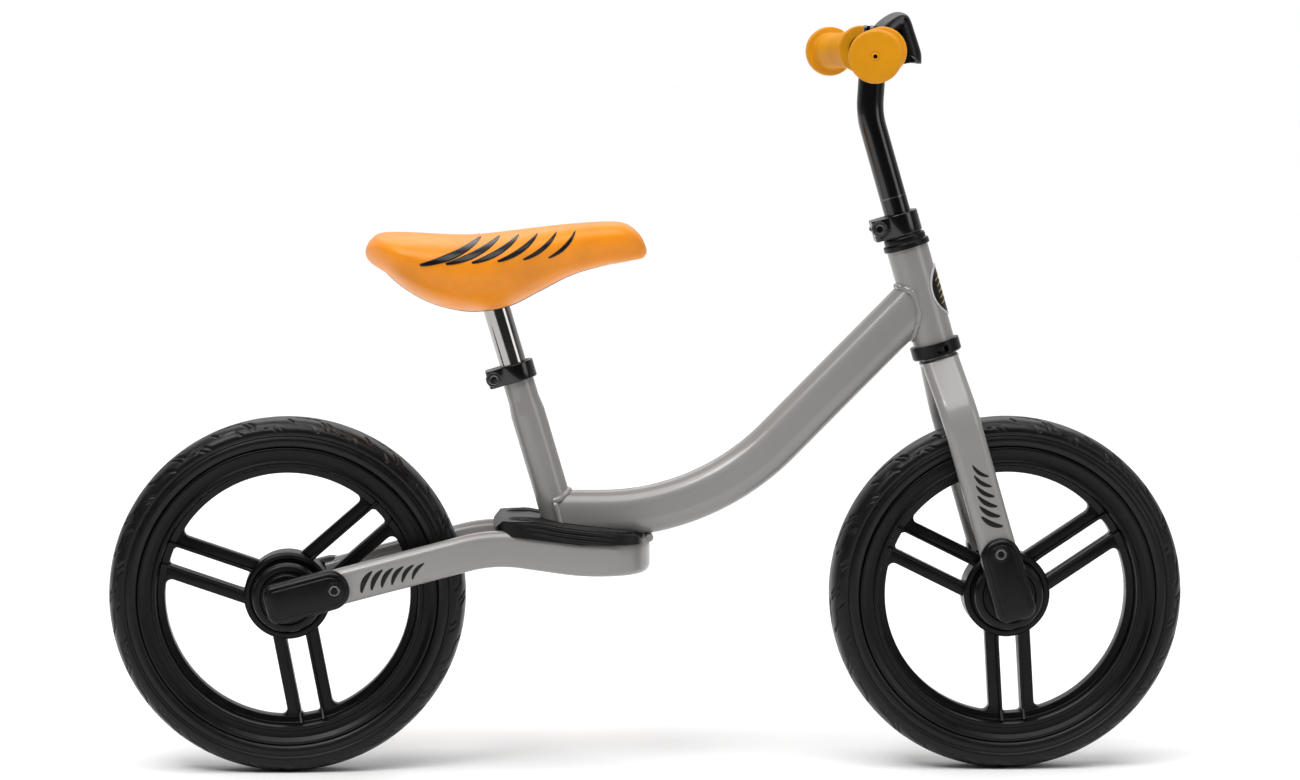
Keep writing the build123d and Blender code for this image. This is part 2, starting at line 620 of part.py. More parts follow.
def rim_solid(spoke_angles):
    """Rim, three pairs of parallel spokes and hub, moulded in one."""
    half, other = rim_profile()
    hoop = turned(half + other)
    ring_middle = WEB_RING_R + 2.0
    flat = Circle(ring_middle + 3.0) - Circle(ring_middle)
    bars = Circle(HUB_R)
    offset = (SPOKE_WIDTH + SPOKE_GAP) / 2
    for angle in spoke_angles:
        for side in (-1, 1):
            bar = Pos(ring_middle / 2 + 5, side * offset) * Rectangle(ring_middle, SPOKE_WIDTH)
            bars += Rot(0, 0, angle) * bar
    flat += bars & Circle(ring_middle + 1.0)
    corners = [
        v
        for v in flat.vertices()
        if HUB_R - 1.0 < hypot(v.X, v.Y) < ring_middle + 0.5
    ]
    flat = fillet(corners, SPOKE_CORNER_R)
    web = extrude(Plane.XZ * flat, SPOKE_HALF_DEPTH, both=True)
    hub = cross_rod(HUB_R, -HUB_HALF_WIDTH, HUB_HALF_WIDTH)
    hub -= cross_rod(HUB_BORE_R, -HUB_HALF_WIDTH, HUB_HALF_WIDTH)
    for side in (-1, 1):
        hub -= cross_rod(
            BEARING_R, side * (HUB_HALF_WIDTH - BEARING_WIDTH), side * (HUB_HALF_WIDTH + 1)
        )
    web -= cross_rod(HUB_R - 3.0, -SPOKE_HALF_DEPTH - 1, SPOKE_HALF_DEPTH + 1)
    return hoop + web + hub


def tyre_solid():
    """A solid foam tyre, seated in the rim's channel."""
    inner = [
        (TYRE_SEAT_R, RIM_HALF_WIDTH - 8.0),
        (TYRE_SEAT_R + 2.0, RIM_HALF_WIDTH - 5.0),
        (RIM_FLANGE_R, RIM_HALF_WIDTH - 3.0),
        (RIM_FLANGE_R, RIM_HALF_WIDTH - 1.2),
    ]
    outer = [
        (RIM_FLANGE_R + 5.0, TYRE_HALF_WIDTH - 0.2),
        (RIM_FLANGE_R + 9.0, TYRE_HALF_WIDTH),
        (WHEEL_R - 9.5, TYRE_HALF_WIDTH - 2.0),
        (WHEEL_R - 4.5, TYRE_HALF_WIDTH - 6.5),
        (WHEEL_R - 1.5, TYRE_HALF_WIDTH - 13.0),
        (WHEEL_R, TYRE_HALF_WIDTH - 20.0),
    ]
    half = inner + outer
    return turned(half + [(r, -y) for r, y in reversed(half)])


def hub_cap():
    """The right-hand dished cap on the hub's end."""
    start = -HUB_HALF_WIDTH
    end = start - HUB_CAP_DEPTH
    return turned(
        (
            (HUB_CAP_R, start),
            (HUB_CAP_R, end + 3.0),
            (HUB_CAP_R - 2.5, end),
            (HUB_CAP_HOLE_R, end),
            (HUB_CAP_HOLE_R, end + HUB_CAP_WALL),
            (HUB_CAP_R - HUB_CAP_WALL, end + HUB_CAP_WALL),
            (HUB_CAP_R - HUB_CAP_WALL, start),
        )
    )


def make_wheel(prefix, axle, spoke_angles):
    place = Pos(*axle)
    keep(prefix + "_tyre", place * tyre_solid())
    keep(prefix + "_rim", place * rim_solid(spoke_angles))
    cap = place * hub_cap()
    keep(prefix + "_hub_cap_right", cap)
    keep(prefix + "_hub_cap_left", mirrored(cap))
    bearing = place * cross_rod(
        BEARING_R, -HUB_HALF_WIDTH, -HUB_HALF_WIDTH + BEARING_WIDTH, AXLE_R + RUNNING_GAP
    )
    keep(prefix + "_bearings", bearing, mirrored(bearing))


# ---- steering ------------------------------------------------------------------------------------
def sector(radius, half_angle, height):
    """A solid sector about the local Z axis, centred on the stop lug's azimuth."""
    reach = radius / cos(radians(half_angle)) if half_angle < 60 else radius * 3
    low = radians(STOP_LUG_AZIMUTH - half_angle)
    high = radians(STOP_LUG_AZIMUTH + half_angle)
    wedge = make_face(
        Polyline(
            (0, 0),
            (reach * cos(low), reach * sin(low)),
            (reach * cos(high), reach * sin(high)),
            close=True,
        )
    )
    return extrude(wedge, height) & rod(radius, height)


def make_cups():
    upper = turned(
        (
            (STEERER_R + RUNNING_GAP, -CUP_SPIGOT),
            (HEAD_TUBE_BORE_R, -CUP_SPIGOT),
            (HEAD_TUBE_BORE_R, 0),
            (UPPER_CUP_R, 0),
            (UPPER_CUP_R, UPPER_CUP_HEIGHT - UPPER_CUP_DOME),
            (UPPER_CUP_R - 1.5, UPPER_CUP_HEIGHT - UPPER_CUP_DOME / 2),
            (STEERER_R + 3.0, UPPER_CUP_HEIGHT),
            (STEERER_R + RUNNING_GAP, UPPER_CUP_HEIGHT),
        )
    )
    keep("upper_head_cup", HEAD * Pos(0, 0, HEAD_TOP) * Rot(90, 0, 0) * upper)

    pocket_r = RACE_R + RACE_POCKET_GAP
    pocket = LOWER_CUP_HEIGHT - LOWER_CUP_ROOF
    lower = rod(LOWER_CUP_R, LOWER_CUP_HEIGHT)
    lower += Pos(0, 0, LOWER_CUP_HEIGHT) * rod(HEAD_TUBE_BORE_R, CUP_SPIGOT)
    lower = chamfer(lower.edges().filter_by(GeomType.CIRCLE).sort_by(Axis.Z)[0], 1.2)
    lower -= rod(STEERER_R + RUNNING_GAP, LOWER_CUP_HEIGHT + CUP_SPIGOT)
    lower -= rod(pocket_r, pocket)
    groove_angle = STEER_LIMIT + STOP_LUG_HALF_ANGLE + 1.0
    groove_r = RACE_R + STOP_LUG_REACH + LOOSE_GAP
    lower -= sector(groove_r, groove_angle, pocket)
    window = Pos(LOWER_CUP_R, 0, pocket - STOP_WINDOW_HEIGHT) * Box(
        2 * (LOWER_CUP_R - RACE_R), STOP_WINDOW_WIDTH, STOP_WINDOW_HEIGHT, align=UP
    )
    lower -= Rot(0, 0, STOP_LUG_AZIMUTH) * window
    keep("lower_head_cup", HEAD * Pos(0, 0, LOWER_CUP_BOTTOM) * lower)

    race_height = pocket - 2 * LOOSE_GAP
    race = rod(RACE_R, race_height, STEERER_R)
    lug = sector(RACE_R + STOP_LUG_REACH, STOP_LUG_HALF_ANGLE, race_height)
    race += lug - rod(STEERER_R + 1.0, race_height)
    keep("steering_stop_ring", HEAD * Pos(0, 0, LOWER_CUP_BOTTOM + LOOSE_GAP) * race)


def blade_path():
    """Centre line of the right fork blade, in the steering axis's own frame."""
    end = -FORK_DROP + TUBE_END_FROM_AXLE
    points = (
        (0, -BLADE_TOP_Y, BLADE_TOP),
        (0, -BLADE_Y, BLADE_TOP - BLADE_SHOULDER_DROP),
        (0, -BLADE_Y, end),
    )
    places = [tuple(point(HEAD, *p)) for p in points]
    return FilletPolyline(*places, radius=BLADE_BEND_R)


def make_fork():
    low = LOWER_CUP_BOTTOM + LOOSE_GAP - NECK_LENGTH
    tube = Pos(0, 0, low) * rod(STEERER_R, CLAMP_TOP - low)
    tube += Pos(0, 0, low) * rod(NECK_R, NECK_LENGTH)
    tube -= Pos(0, 0, low) * rod(STEERER_BORE_R, CLAMP_TOP - low)
    tube -= Pos(-STEERER_R, 0, CLAMP_TOP) * Box(
        2 * STEERER_R, CLAMP_SLIT, 2 * (CLAMP_HEIGHT + CLAMP_GAP - 1.0)
    )
    keep("fork_steerer", HEAD * tube)

    forward = (cos(radians(HEAD_LEAN)), 0, sin(radians(HEAD_LEAN)))
    blade = oval_tube(
        blade_path(), BLADE_DEPTH, BLADE_THICKNESS, BLADE_THICKNESS / 2, BLADE_WALL, forward
    )
    blade -= HEAD * Pos(0, 0, low) * rod(NECK_R, 60)
    lid = Pos(0, 0, BLADE_TOP) * Box(100, 100, 30, align=UP)
    blade -= HEAD * lid
    blade -= HEAD * Pos(0, 50 - CROWN_GAP / 2, low - 40) * Box(100, 100, 80)
    hole = Pos(COVER_SCREW_FROM_AXLE, 0, 0) * cross_rod(
        COVER_SCREW_R + LOOSE_GAP, -BLADE_Y, -BLADE_Y - BLADE_THICKNESS
    )
    blade -= front_end() * hole
    blade = max(blade.solids(), key=lambda s: s.volume)
    keep("fork_blade_right", blade)
    keep("fork_blade_left", mirrored(blade))


def clamp_ring(bore):
    """A split collar with a rear ear, standing on the local origin about +Z."""
    ring = rod(bore + CLAMP_WALL, CLAMP_HEIGHT)
    ear_x = -CLAMP_EAR_REACH / 2
    ear = Pos(ear_x, 0, 0) * Box(CLAMP_EAR_REACH, 2 * CLAMP_EAR_HALF_WIDTH, CLAMP_HEIGHT, align=UP)
    ear = fillet(ear.edges().filter_by(Axis.Z).group_by(Axis.X)[0], 2.5)
    body = ring + ear
    body = chamfer(body.faces().sort_by(Axis.Z)[-1].outer_wire().edges(), 0.8)
    body = chamfer(body.faces().sort_by(Axis.Z)[0].outer_wire().edges(), 0.8)
    body -= rod(bore, CLAMP_HEIGHT)
    body -= Pos(-bore / 2 - CLAMP_EAR_REACH / 2, 0, 0) * Box(
        CLAMP_EAR_REACH, CLAMP_SLIT, CLAMP_HEIGHT, align=UP
    )
    bolt_place = Pos(-CLAMP_BOLT_FROM_AXIS, 0, CLAMP_HEIGHT / 2)
    body -= bolt_place * cross_rod(CLAMP_BOLT_R, -CLAMP_EAR_HALF_WIDTH, CLAMP_EAR_HALF_WIDTH)
    return body


def make_clamp(prefix, place, bore):
    keep(prefix + "_clamp", place * clamp_ring(bore))
    bolt_place = place * Pos(-CLAMP_BOLT_FROM_AXIS, 0, CLAMP_HEIGHT / 2)
    bolt = socket_screw(
        CLAMP_BOLT_R,
        2 * CLAMP_EAR_HALF_WIDTH + CLAMP_NUT_HEIGHT,
        CLAMP_BOLT_HEAD_R,
        CLAMP_BOLT_HEAD,
        -CLAMP_EAR_HALF_WIDTH - CLAMP_BOLT_HEAD,
    )
    keep(prefix + "_clamp_bolt", bolt_place * bolt)
    nut = cross_hex(
        CLAMP_NUT_ACROSS, CLAMP_EAR_HALF_WIDTH, CLAMP_EAR_HALF_WIDTH + CLAMP_NUT_HEIGHT
    )
    nut -= cross_rod(CLAMP_BOLT_R, 0, CLAMP_EAR_HALF_WIDTH + CLAMP_NUT_HEIGHT)
    keep(prefix + "_clamp_nut", bolt_place * nut)


# ---- handlebar -----------------------------------------------------------------------------------
def bar_centre():
    bend = point(HEAD, 0, 0, STEM_BEND_S)
    lean = radians(STEM_TOP_LEAN)
    return bend + Vector(sin(lean), 0, cos(lean)) * STEM_TOP_LENGTH


def bar_end_points(side):
    """Where the bar leaves its straight middle, and its end, on one side."""
    centre = bar_centre()
    start = centre + Vector(0, side * BAR_STRAIGHT_HALF, 0)
    end = Vector(centre.X - BAR_SWEEP_BACK, side * BAR_HALF_WIDTH, centre.Z - BAR_DROP)
    return start, end


def grip_place(side):
    """The grip's inner end, with local +Z outwards along the bar."""
    start, end = bar_end_points(side)
    outwards = (end - start).normalized()
    origin = end - outwards * GRIP_LENGTH
    return Plane(origin=origin, x_dir=(0, 0, 1), z_dir=outwards).location


def bar_solid(radius):
    """A round bar of any radius along the crossbar's centre line."""
    right_start, right_end = bar_end_points(-1)
    left_start, left_end = bar_end_points(1)
    trim = GRIP_WALL
    outwards = (right_end - right_start).normalized()
    right_end = right_end - outwards * trim
    left_end = Vector(right_end.X, -right_end.Y, right_end.Z)
    path = FilletPolyline(
        tuple(right_end), tuple(right_start), tuple(left_start), tuple(left_end), radius=BAR_BEND_R
    )
    section = Plane(origin=path @ 0, z_dir=path % 0) * Circle(radius)
    return sweep(section, path=path)


def stem_solid(radius):
    """A round bar of any radius along the stem's centre line."""
    path = FilletPolyline(
        tuple(point(HEAD, 0, 0, CLAMP_TOP - STEM_INSERT)),
        tuple(point(HEAD, 0, 0, STEM_BEND_S)),
        tuple(bar_centre()),
        radius=STEM_BEND_R,
    )
    section = Plane(origin=path @ 0, z_dir=path % 0) * Circle(radius)
    return sweep(section, path=path)


def grip():
    """A rubber grip with a round flange, a thin body and a wide closed end, along +Z."""
    end = GRIP_LENGTH
    body = turned(
        (
            (0, 0),
            (GRIP_FLANGE_R - 1.2, 0),
            (GRIP_FLANGE_R, 1.2),
            (GRIP_FLANGE_R, GRIP_FLANGE_THICKNESS - 1.2),
            (GRIP_FLANGE_R - 1.2, GRIP_FLANGE_THICKNESS),
            (GRIP_BODY_R, GRIP_FLANGE_THICKNESS + 2.0),
            (GRIP_BODY_R, end - GRIP_END_THICKNESS - 5.0),
            (GRIP_BODY_R + 2.0, end - GRIP_END_THICKNESS - 1.5),
            (GRIP_END_R - 1.5, end - GRIP_END_THICKNESS),
            (GRIP_END_R, end - GRIP_END_THICKNESS + 1.5),
            (GRIP_END_R, end - 1.5),
            (GRIP_END_R - 1.5, end),
            (0, end),
        )
    )
    body = Rot(90, 0, 0) * body
    body -= rod(GRIP_HOLE_R, GRIP_LENGTH)
    return body


def shield_points():
    """The shield's side view, as (forward, up) from the crossbar's centre."""
    return (
        (1.5, 19.5),
        (8.5, 26.5),
        (17.5, 31.5),
        (25.0, 32.3),
        (28.3, 29.0),
        (32.5, 15.0),
        (38.0, -6.5),
        (37.0, -11.0),
        (33.6, -11.3),
        (28.5, 4.0),
        (23.0, 19.0),
        (18.0, 24.0),
        (9.0, 20.0),
        (3.5, 15.5),
    )


def make_handlebar():
    centre = bar_centre()
    bar = bar_solid(BAR_R) - bar_solid(BAR_R - BAR_WALL)
    keep("crossbar", bar)
    stem = stem_solid(BAR_R) - stem_solid(BAR_R - BAR_WALL) - bar_solid(BAR_R)
    keep("stem_tube", max(stem.solids(), key=lambda s: s.volume))
    for side, name in ((-1, "right_grip"), (1, "left_grip")):
        keep(name, grip_place(side) * grip() - bar_solid(BAR_R))

    place = Pos(centre.X, 0, centre.Z)
    plate = side_plate(shield_points(), SHIELD_HALF_WIDTH)
    plan = Pos(0, 10, 0) * RectangleRounded(2 * SHIELD_HALF_WIDTH, 44, 14)
    front = Plane.YZ * plan
    plate &= Pos(-60, 0, 0) * extrude(front, 120)
    ribs = None
    clips = []
    screws = []
    ring_r = BAR_R + SHIELD_CLIP_WALL
    for side in (-1, 1):
        y = side * SHIELD_RIB_Y
        low = y - SHIELD_RIB_WIDTH / 2
        high = y + SHIELD_RIB_WIDTH / 2
        rib = Pos(ring_r + 5, y, 6) * Box(2 * ring_r + 2, SHIELD_RIB_WIDTH, 2 * ring_r + 2)
        rib &= side_plate(((0.4, -12), (34.5, -9), (27, 19), (20, 25), (0.4, 18)), 60)
        ribs = rib if ribs is None else ribs + rib
        half = cross_rod(ring_r, low, high)
        lugs = Pos(-SHIELD_CLIP_WALL / 2, y, 0) * Box(
            SHIELD_CLIP_WALL, SHIELD_RIB_WIDTH, 2 * (ring_r + 2 * SHIELD_SCREW_HEAD_R - 1)
        )
        clip = half + lugs - cross_rod(BAR_R, low - 1, high + 1)
        clip &= Pos(-50, y, 0) * Box(100, 2 * SHIELD_RIB_WIDTH, 100)
        for end in (-1, 1):
            height = end * (ring_r + SHIELD_SCREW_HEAD_R - 0.5)
            spot = Pos(0, y, height) * Rot(0, 90, 0)
            shank = Pos(0, 0, -SHIELD_CLIP_WALL) * rod(SHIELD_SCREW_R, SHIELD_CLIP_WALL + 7)
            head = Pos(0, 0, -SHIELD_CLIP_WALL - SHIELD_SCREW_HEAD) * rod(
                SHIELD_SCREW_HEAD_R, SHIELD_SCREW_HEAD
            )
            screw = spot * (shank + head)
            screws.append(place * screw)
            clip -= screw
            plate -= screw
            ribs -= screw
        clips.append(place * clip)
    shield = plate + ribs - cross_rod(BAR_R, -SHIELD_HALF_WIDTH, SHIELD_HALF_WIDTH)
    shield = place * shield
    keep("bar_shield", max(shield.solids(), key=lambda s: s.volume))
    keep("shield_clips", *clips)
    keep("shield_screws", *screws)


# ---- saddle --------------------------------------------------------------------------------------
def saddle_loft(width_share, height_share, drop):
    """An oval body through the saddle's sections; the shares make the pan inside it."""
    faces = []
    for along, middle, height, share in SADDLE_SECTIONS:
        x = SADDLE_REAR_X + along * SADDLE_LENGTH
        half_width = SADDLE_WIDTH * share * width_share / 2
        oval = Ellipse(half_width, height * height_share / 2)
        faces.append(Pos(x, 0, MAIN_TUBE_LOW_Z + middle - drop) * (Plane.YZ * oval))
    return loft(Sketch() + faces)


def make_saddle():
    post_low = SEAT_TUBE_LENGTH - POST_INSERT
    post_high = SADDLE_UNDERSIDE_S + POST_SOCKET_DEPTH
    post = rod(POST_R, post_high - post_low, POST_R - POST_WALL)
    keep("seat_post", SEAT * Pos(0, 0, post_low) * post)

    outside = saddle_loft(1.0, 1.0, 0.0)
    pan = saddle_loft(SADDLE_PAN_SHARE, SADDLE_PAN_SHARE, 4.0)
    socket = SEAT * Pos(0, 0, SADDLE_UNDERSIDE_S) * rod(SADDLE_SOCKET_R, POST_SOCKET_DEPTH + 3.0)
    pan += socket
    bore = SEAT * Pos(0, 0, SADDLE_UNDERSIDE_S - 20) * rod(POST_R, POST_SOCKET_DEPTH + 20)
    bolt_place = SEAT * Pos(0, 0, SADDLE_UNDERSIDE_S + POST_SOCKET_DEPTH / 2)
    bolt = bolt_place * cross_rod(CLAMP_BOLT_R, -SADDLE_SOCKET_R + 1, SADDLE_SOCKET_R - 1)
    pad = outside - pan - SEAT * Pos(0, 0, SADDLE_UNDERSIDE_S - 20) * rod(SADDLE_SOCKET_R, 20)
    keep("saddle_pad", max(pad.solids(), key=lambda s: s.volume))
    pan = pan - bore - bolt
    keep("saddle_pan", max(pan.solids(), key=lambda s: s.volume))
    NODES["seat_post"] = NODES["seat_post"] - bolt
    keep("saddle_bolt", bolt)


def main():
    make_frame()
    make_footrest()
    make_cups()
    make_clamp("seat", SEAT * Pos(0, 0, SEAT_CLAMP_BOTTOM), SEAT_TUBE_TOP_R)
    make_axle_end(
        "rear", rear_end(), STAY_HEIGHT, STAY_THICKNESS, ("rear_dropout_right", "rear_dropout_left")
    )
    make_wheel("rear", REAR_AXLE, REAR_SPOKE_ANGLES)
    make_fork()
    make_axle_end(
        "front", front_end(), BLADE_DEPTH, BLADE_THICKNESS, ("fork_end_right", "fork_end_left")
    )
    make_clamp("handlebar", HEAD * Pos(0, 0, CLAMP_BOTTOM), STEERER_R)
    make_wheel("front", FRONT_AXLE, FRONT_SPOKE_ANGLES)
    make_handlebar()
    make_saddle()
    os.makedirs("parts", exist_ok=True)
    for name, shape in NODES.items():
        export_step(shape, os.path.join("parts", name + ".step"))


main()
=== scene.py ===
"""A child's balance bike: the finished look of every piece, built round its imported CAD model."""

from math import asin, atan2, copysign, cos, hypot, pi, radians, sin, sqrt, tan

import bmesh
import bpy
from mathutils import Matrix, Vector, noise


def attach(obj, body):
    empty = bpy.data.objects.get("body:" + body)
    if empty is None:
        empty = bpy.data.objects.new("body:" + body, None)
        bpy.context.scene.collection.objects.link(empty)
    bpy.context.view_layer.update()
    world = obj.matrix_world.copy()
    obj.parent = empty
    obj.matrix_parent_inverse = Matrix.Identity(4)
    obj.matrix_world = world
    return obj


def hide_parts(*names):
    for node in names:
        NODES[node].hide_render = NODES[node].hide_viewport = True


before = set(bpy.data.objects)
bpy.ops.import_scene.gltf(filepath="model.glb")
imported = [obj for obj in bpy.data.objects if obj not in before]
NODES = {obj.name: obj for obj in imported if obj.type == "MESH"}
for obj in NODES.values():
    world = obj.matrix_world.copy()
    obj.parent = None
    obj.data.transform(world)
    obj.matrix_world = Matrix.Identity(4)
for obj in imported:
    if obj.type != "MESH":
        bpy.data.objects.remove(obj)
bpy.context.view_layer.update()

MM = 0.001

# ---- the bike's own sizes, in millimetres ----
WHEEL_R = 147.5
REAR_AXLE = Vector((-299.0, 0, WHEEL_R))
FRONT_AXLE = Vector((299.0, 0, WHEEL_R))
HEAD_LEAN = 16.4
SEAT_LEAN = 16.7
STAY_RISE = 14.67  # degrees, from the rear axle up along the stays
FORK_LENGTH = 259.5  # along the steering axis, from the front axle to the head tube's middle
HEAD_TUBE_R = 17.35
SEAT_FOOT = Vector((-75.2, 0, 213.75))
SEAT_TUBE_R = 14.3
MAIN_SLOPE = 45.5  # in degrees, where the main tube meets the head tube
MAIN_HEIGHT = 39.5
MAIN_WIDTH = 32.0
MAIN_CORNER = 14.0
# the stays and the fork blades: a flat oval tube on each side
BLADE_Y = 43.0
BLADE_HALF_HEIGHT = 15.0
BLADE_HALF_WIDTH = 7.5


def turned_about_y(degrees):
    return Matrix.Rotation(radians(degrees), 4, "Y")


FORK = Matrix.Translation(FRONT_AXLE) @ turned_about_y(-HEAD_LEAN)
HEAD = FORK @ Matrix.Translation((0, 0, FORK_LENGTH))
SEAT = Matrix.Translation(SEAT_FOOT) @ turned_about_y(-SEAT_LEAN)
REAR_END = Matrix.Translation(REAR_AXLE) @ turned_about_y(-STAY_RISE)
FRONT_END = Matrix.Translation(FRONT_AXLE) @ turned_about_y(-HEAD_LEAN - 90)
SIDES = ((-1, "right"), (1, "left"))


# ---- materials ----
class Shader:
    """A Principled material with short calls for its node set-up."""

    def __init__(self, name, colour, roughness, **sockets):
        self.material = bpy.data.materials.new(name)
        self.material.use_nodes = True
        self.tree = self.material.node_tree
        self.bsdf = self.tree.nodes["Principled BSDF"]
        self.bsdf.inputs["Base Color"].default_value = (*colour, 1)
        self.bsdf.inputs["Roughness"].default_value = roughness
        for key, value in sockets.items():
            self.bsdf.inputs[key.replace("_", " ")].default_value = value
        self.place = self.node("ShaderNodeTexCoord").outputs["Object"]

    def node(self, kind, **inputs):
        made = self.tree.nodes.new(kind)
        for key, value in inputs.items():
            made.inputs[key.replace("_", " ")].default_value = value
        return made

    def link(self, output, target):
        self.tree.links.new(output, target)

    def noise(self, scale, detail=3.0):
        made = self.node("ShaderNodeTexNoise", Scale=scale, Detail=detail, Roughness=0.55)
        self.link(self.place, made.inputs["Vector"])
        return made.outputs["Fac"]

    def spread(self, value, low, high):
        """Maps a 0.3 to 0.7 noise value to a range."""
        made = self.node("ShaderNodeMapRange", From_Min=0.3, From_Max=0.7, To_Min=low, To_Max=high)
        self.link(value, made.inputs["Value"])
        return made.outputs["Result"]

    def tint(self, value, colour, low, high):
        """Varies the base colour between two shares of a colour."""
        # a colour mix has its factor in socket 0, its colours in 6 and 7, its result in output 2
        mix = self.tree.nodes.new("ShaderNodeMix")
        mix.data_type = "RGBA"
        mix.inputs[6].default_value = (*scaled(colour, low), 1)
        mix.inputs[7].default_value = (*scaled(colour, high), 1)
        self.link(self.spread(value, 0.0, 1.0), mix.inputs[0])
        self.link(mix.outputs[2], self.bsdf.inputs["Base Color"])

    def gloss(self, value, low, high):
        self.link(self.spread(value, low, high), self.bsdf.inputs["Roughness"])

    def bump(self, value, depth, strength):
        made = self.node("ShaderNodeBump", Strength=strength, Distance=depth)
        self.link(value, made.inputs["Height"])
        self.link(made.outputs["Normal"], self.bsdf.inputs["Normal"])


def scaled(colour, factor):
    return tuple(min(1.0, channel * factor) for channel in colour)


def moulded(name, colour, roughness, shine, grain=1400.0, depth=0.00006):
    """Moulded plastic or rubber: fine grain, with a faint cloudiness in its colour and gloss."""
    made = Shader(name, colour, roughness, Specular_IOR_Level=shine)
    made.tint(made.noise(22.0, 4.0), colour, 0.9, 1.1)
    made.gloss(made.noise(90.0), roughness - 0.05, roughness + 0.05)
    made.bump(made.noise(grain, 2.0), depth, 0.6)
    return made.material


def painted(name, colour, roughness, coat, peel=260.0, depth=0.00004, **sockets):
    """Sprayed paint with a slight orange peel; `coat` is its clear coat's weight and roughness."""
    weight, haze = coat
    made = Shader(name, colour, roughness, Coat_Weight=weight, Coat_Roughness=haze, **sockets)
    made.tint(made.noise(9.0, 2.0), colour, 0.97, 1.03)
    made.gloss(made.noise(40.0), roughness * 0.9, roughness * 1.1)
    made.bump(made.noise(peel, 1.0), depth, 0.35)
    return made.material


def metal(name, colour, roughness):
    """Plated or polished metal with fine rubbing marks."""
    made = Shader(name, colour, roughness, Metallic=1.0)
    made.tint(made.noise(30.0), colour, 0.95, 1.03)
    made.gloss(made.noise(60.0, 4.0), roughness * 0.7, roughness * 1.3)
    made.bump(made.noise(700.0, 2.0), 0.00002, 0.4)
    return made.material


GREY = (0.238, 0.230, 0.224)
MATERIALS = {
    "frame_paint": painted("grey_paint", GREY, 0.34, coat=(0.5, 0.1)),
    "black_plastic": moulded("black_plastic", (0.0028, 0.0028, 0.003), 0.34, 0.22),
    "rim_plastic": moulded("rim_plastic", (0.0018, 0.0018, 0.002), 0.32, 0.2),
    "tyre_foam": moulded("tyre_foam", (0.003, 0.0028, 0.0027), 0.36, 0.26, 900.0, 0.00008),
    "black_paint": painted(
        "black_paint", (0.002, 0.002, 0.0022), 0.20, coat=(0.3, 0.08), Specular_IOR_Level=0.4
    ),
    "black_steel": metal("black_steel", (0.13, 0.13, 0.135), 0.3),
    "steel": metal("zinc_steel", (0.62, 0.62, 0.63), 0.3),
    "post_chrome": metal("post_chrome", (0.36, 0.35, 0.34), 0.09),
    "saddle_orange": moulded("saddle_skin", (0.86, 0.275, 0.006), 0.42, 0.35, 1700.0, 0.00005),
    "grip_amber": moulded("grip_rubber", (0.70, 0.285, 0.002), 0.46, 0.3, 1500.0),
}
DECAL_BLACK = moulded("decal_black", (0.004, 0.0038, 0.0036), 0.30, 0.3, 2200.0, 0.00002)
DECAL_PALE = painted("decal_pale", (0.55, 0.55, 0.54), 0.3, coat=(0.4, 0.1))
DECAL_GOLD = metal("badge_gold", (0.62, 0.42, 0.16), 0.32)
WELD = painted("weld_bead", scaled(GREY, 0.95), 0.22, coat=(0.8, 0.05), peel=420.0, depth=0.0003)


# ---- mesh building ----
STRAIGHT = 1.56  # half of an angle that counts as straight


def rounded(corners, steps):
    """A closed outline from (a, b, radius) corners, each turned by an arc of that radius."""
    outline = []
    count = len(corners)
    for i, (a, b, radius) in enumerate(corners):
        here = Vector((a, b))
        before = Vector(corners[i - 1][:2]) - here
        after = Vector(corners[(i + 1) % count][:2]) - here
        half = before.angle(after) / 2
        if radius <= 0 or half > STRAIGHT:
            outline.append(here)
            continue
        cut = min(radius / tan(half), 0.48 * before.length, 0.48 * after.length)
        radius = cut * tan(half)
        centre = here + (before.normalized() + after.normalized()).normalized() * radius / sin(half)
        start = here + before.normalized() * cut - centre
        end = here + after.normalized() * cut - centre
        first = atan2(start.y, start.x)
        turn = (atan2(end.y, end.x) - first + pi) % (2 * pi) - pi
        for k in range(steps + 1):
            angle = first + turn * k / steps
            outline.append(centre + radius * Vector((cos(angle), sin(angle))))
    return outline


def mirrored(half):
    """A whole outline of (radius, y, corner) from the half of it that has positive y."""
    return half + [(r, -y, corner) for r, y, corner in reversed(half)]


def circle(radius, count):
    angles = [2 * pi * k / count for k in range(count)]
    return [(radius * cos(angle), radius * sin(angle)) for angle in angles]


def smooth_through(keys, at):
    """A smooth curve's values at one place, from keys of (place, value, value, ...)."""
    last = len(keys) - 1
    i = 0
    while i < last - 1 and at > keys[i + 1][0]:
        i += 1
    low, high = keys[i], keys[i + 1]
    span = high[0] - low[0]
    t = min(1.0, max(0.0, (at - low[0]) / span))
    values = []
    for c in range(1, len(low)):
        slope = [0.0, 0.0]
        for end, j in ((0, i), (1, i + 1)):
            a, b = keys[max(0, j - 1)], keys[min(last, j + 1)]
            slope[end] = (b[c] - a[c]) / (b[0] - a[0]) * span
        h00 = 2 * t**3 - 3 * t**2 + 1
        h10 = t**3 - 2 * t**2 + t
        h01 = -2 * t**3 + 3 * t**2
        h11 = t**3 - t**2
        values.append(h00 * low[c] + h10 * slope[0] + h01 * high[c] + h11 * slope[1])
    return values


def add_object(name, data):
    made = bpy.data.objects.new(name, data)
    bpy.context.scene.collection.objects.link(made)
    return made


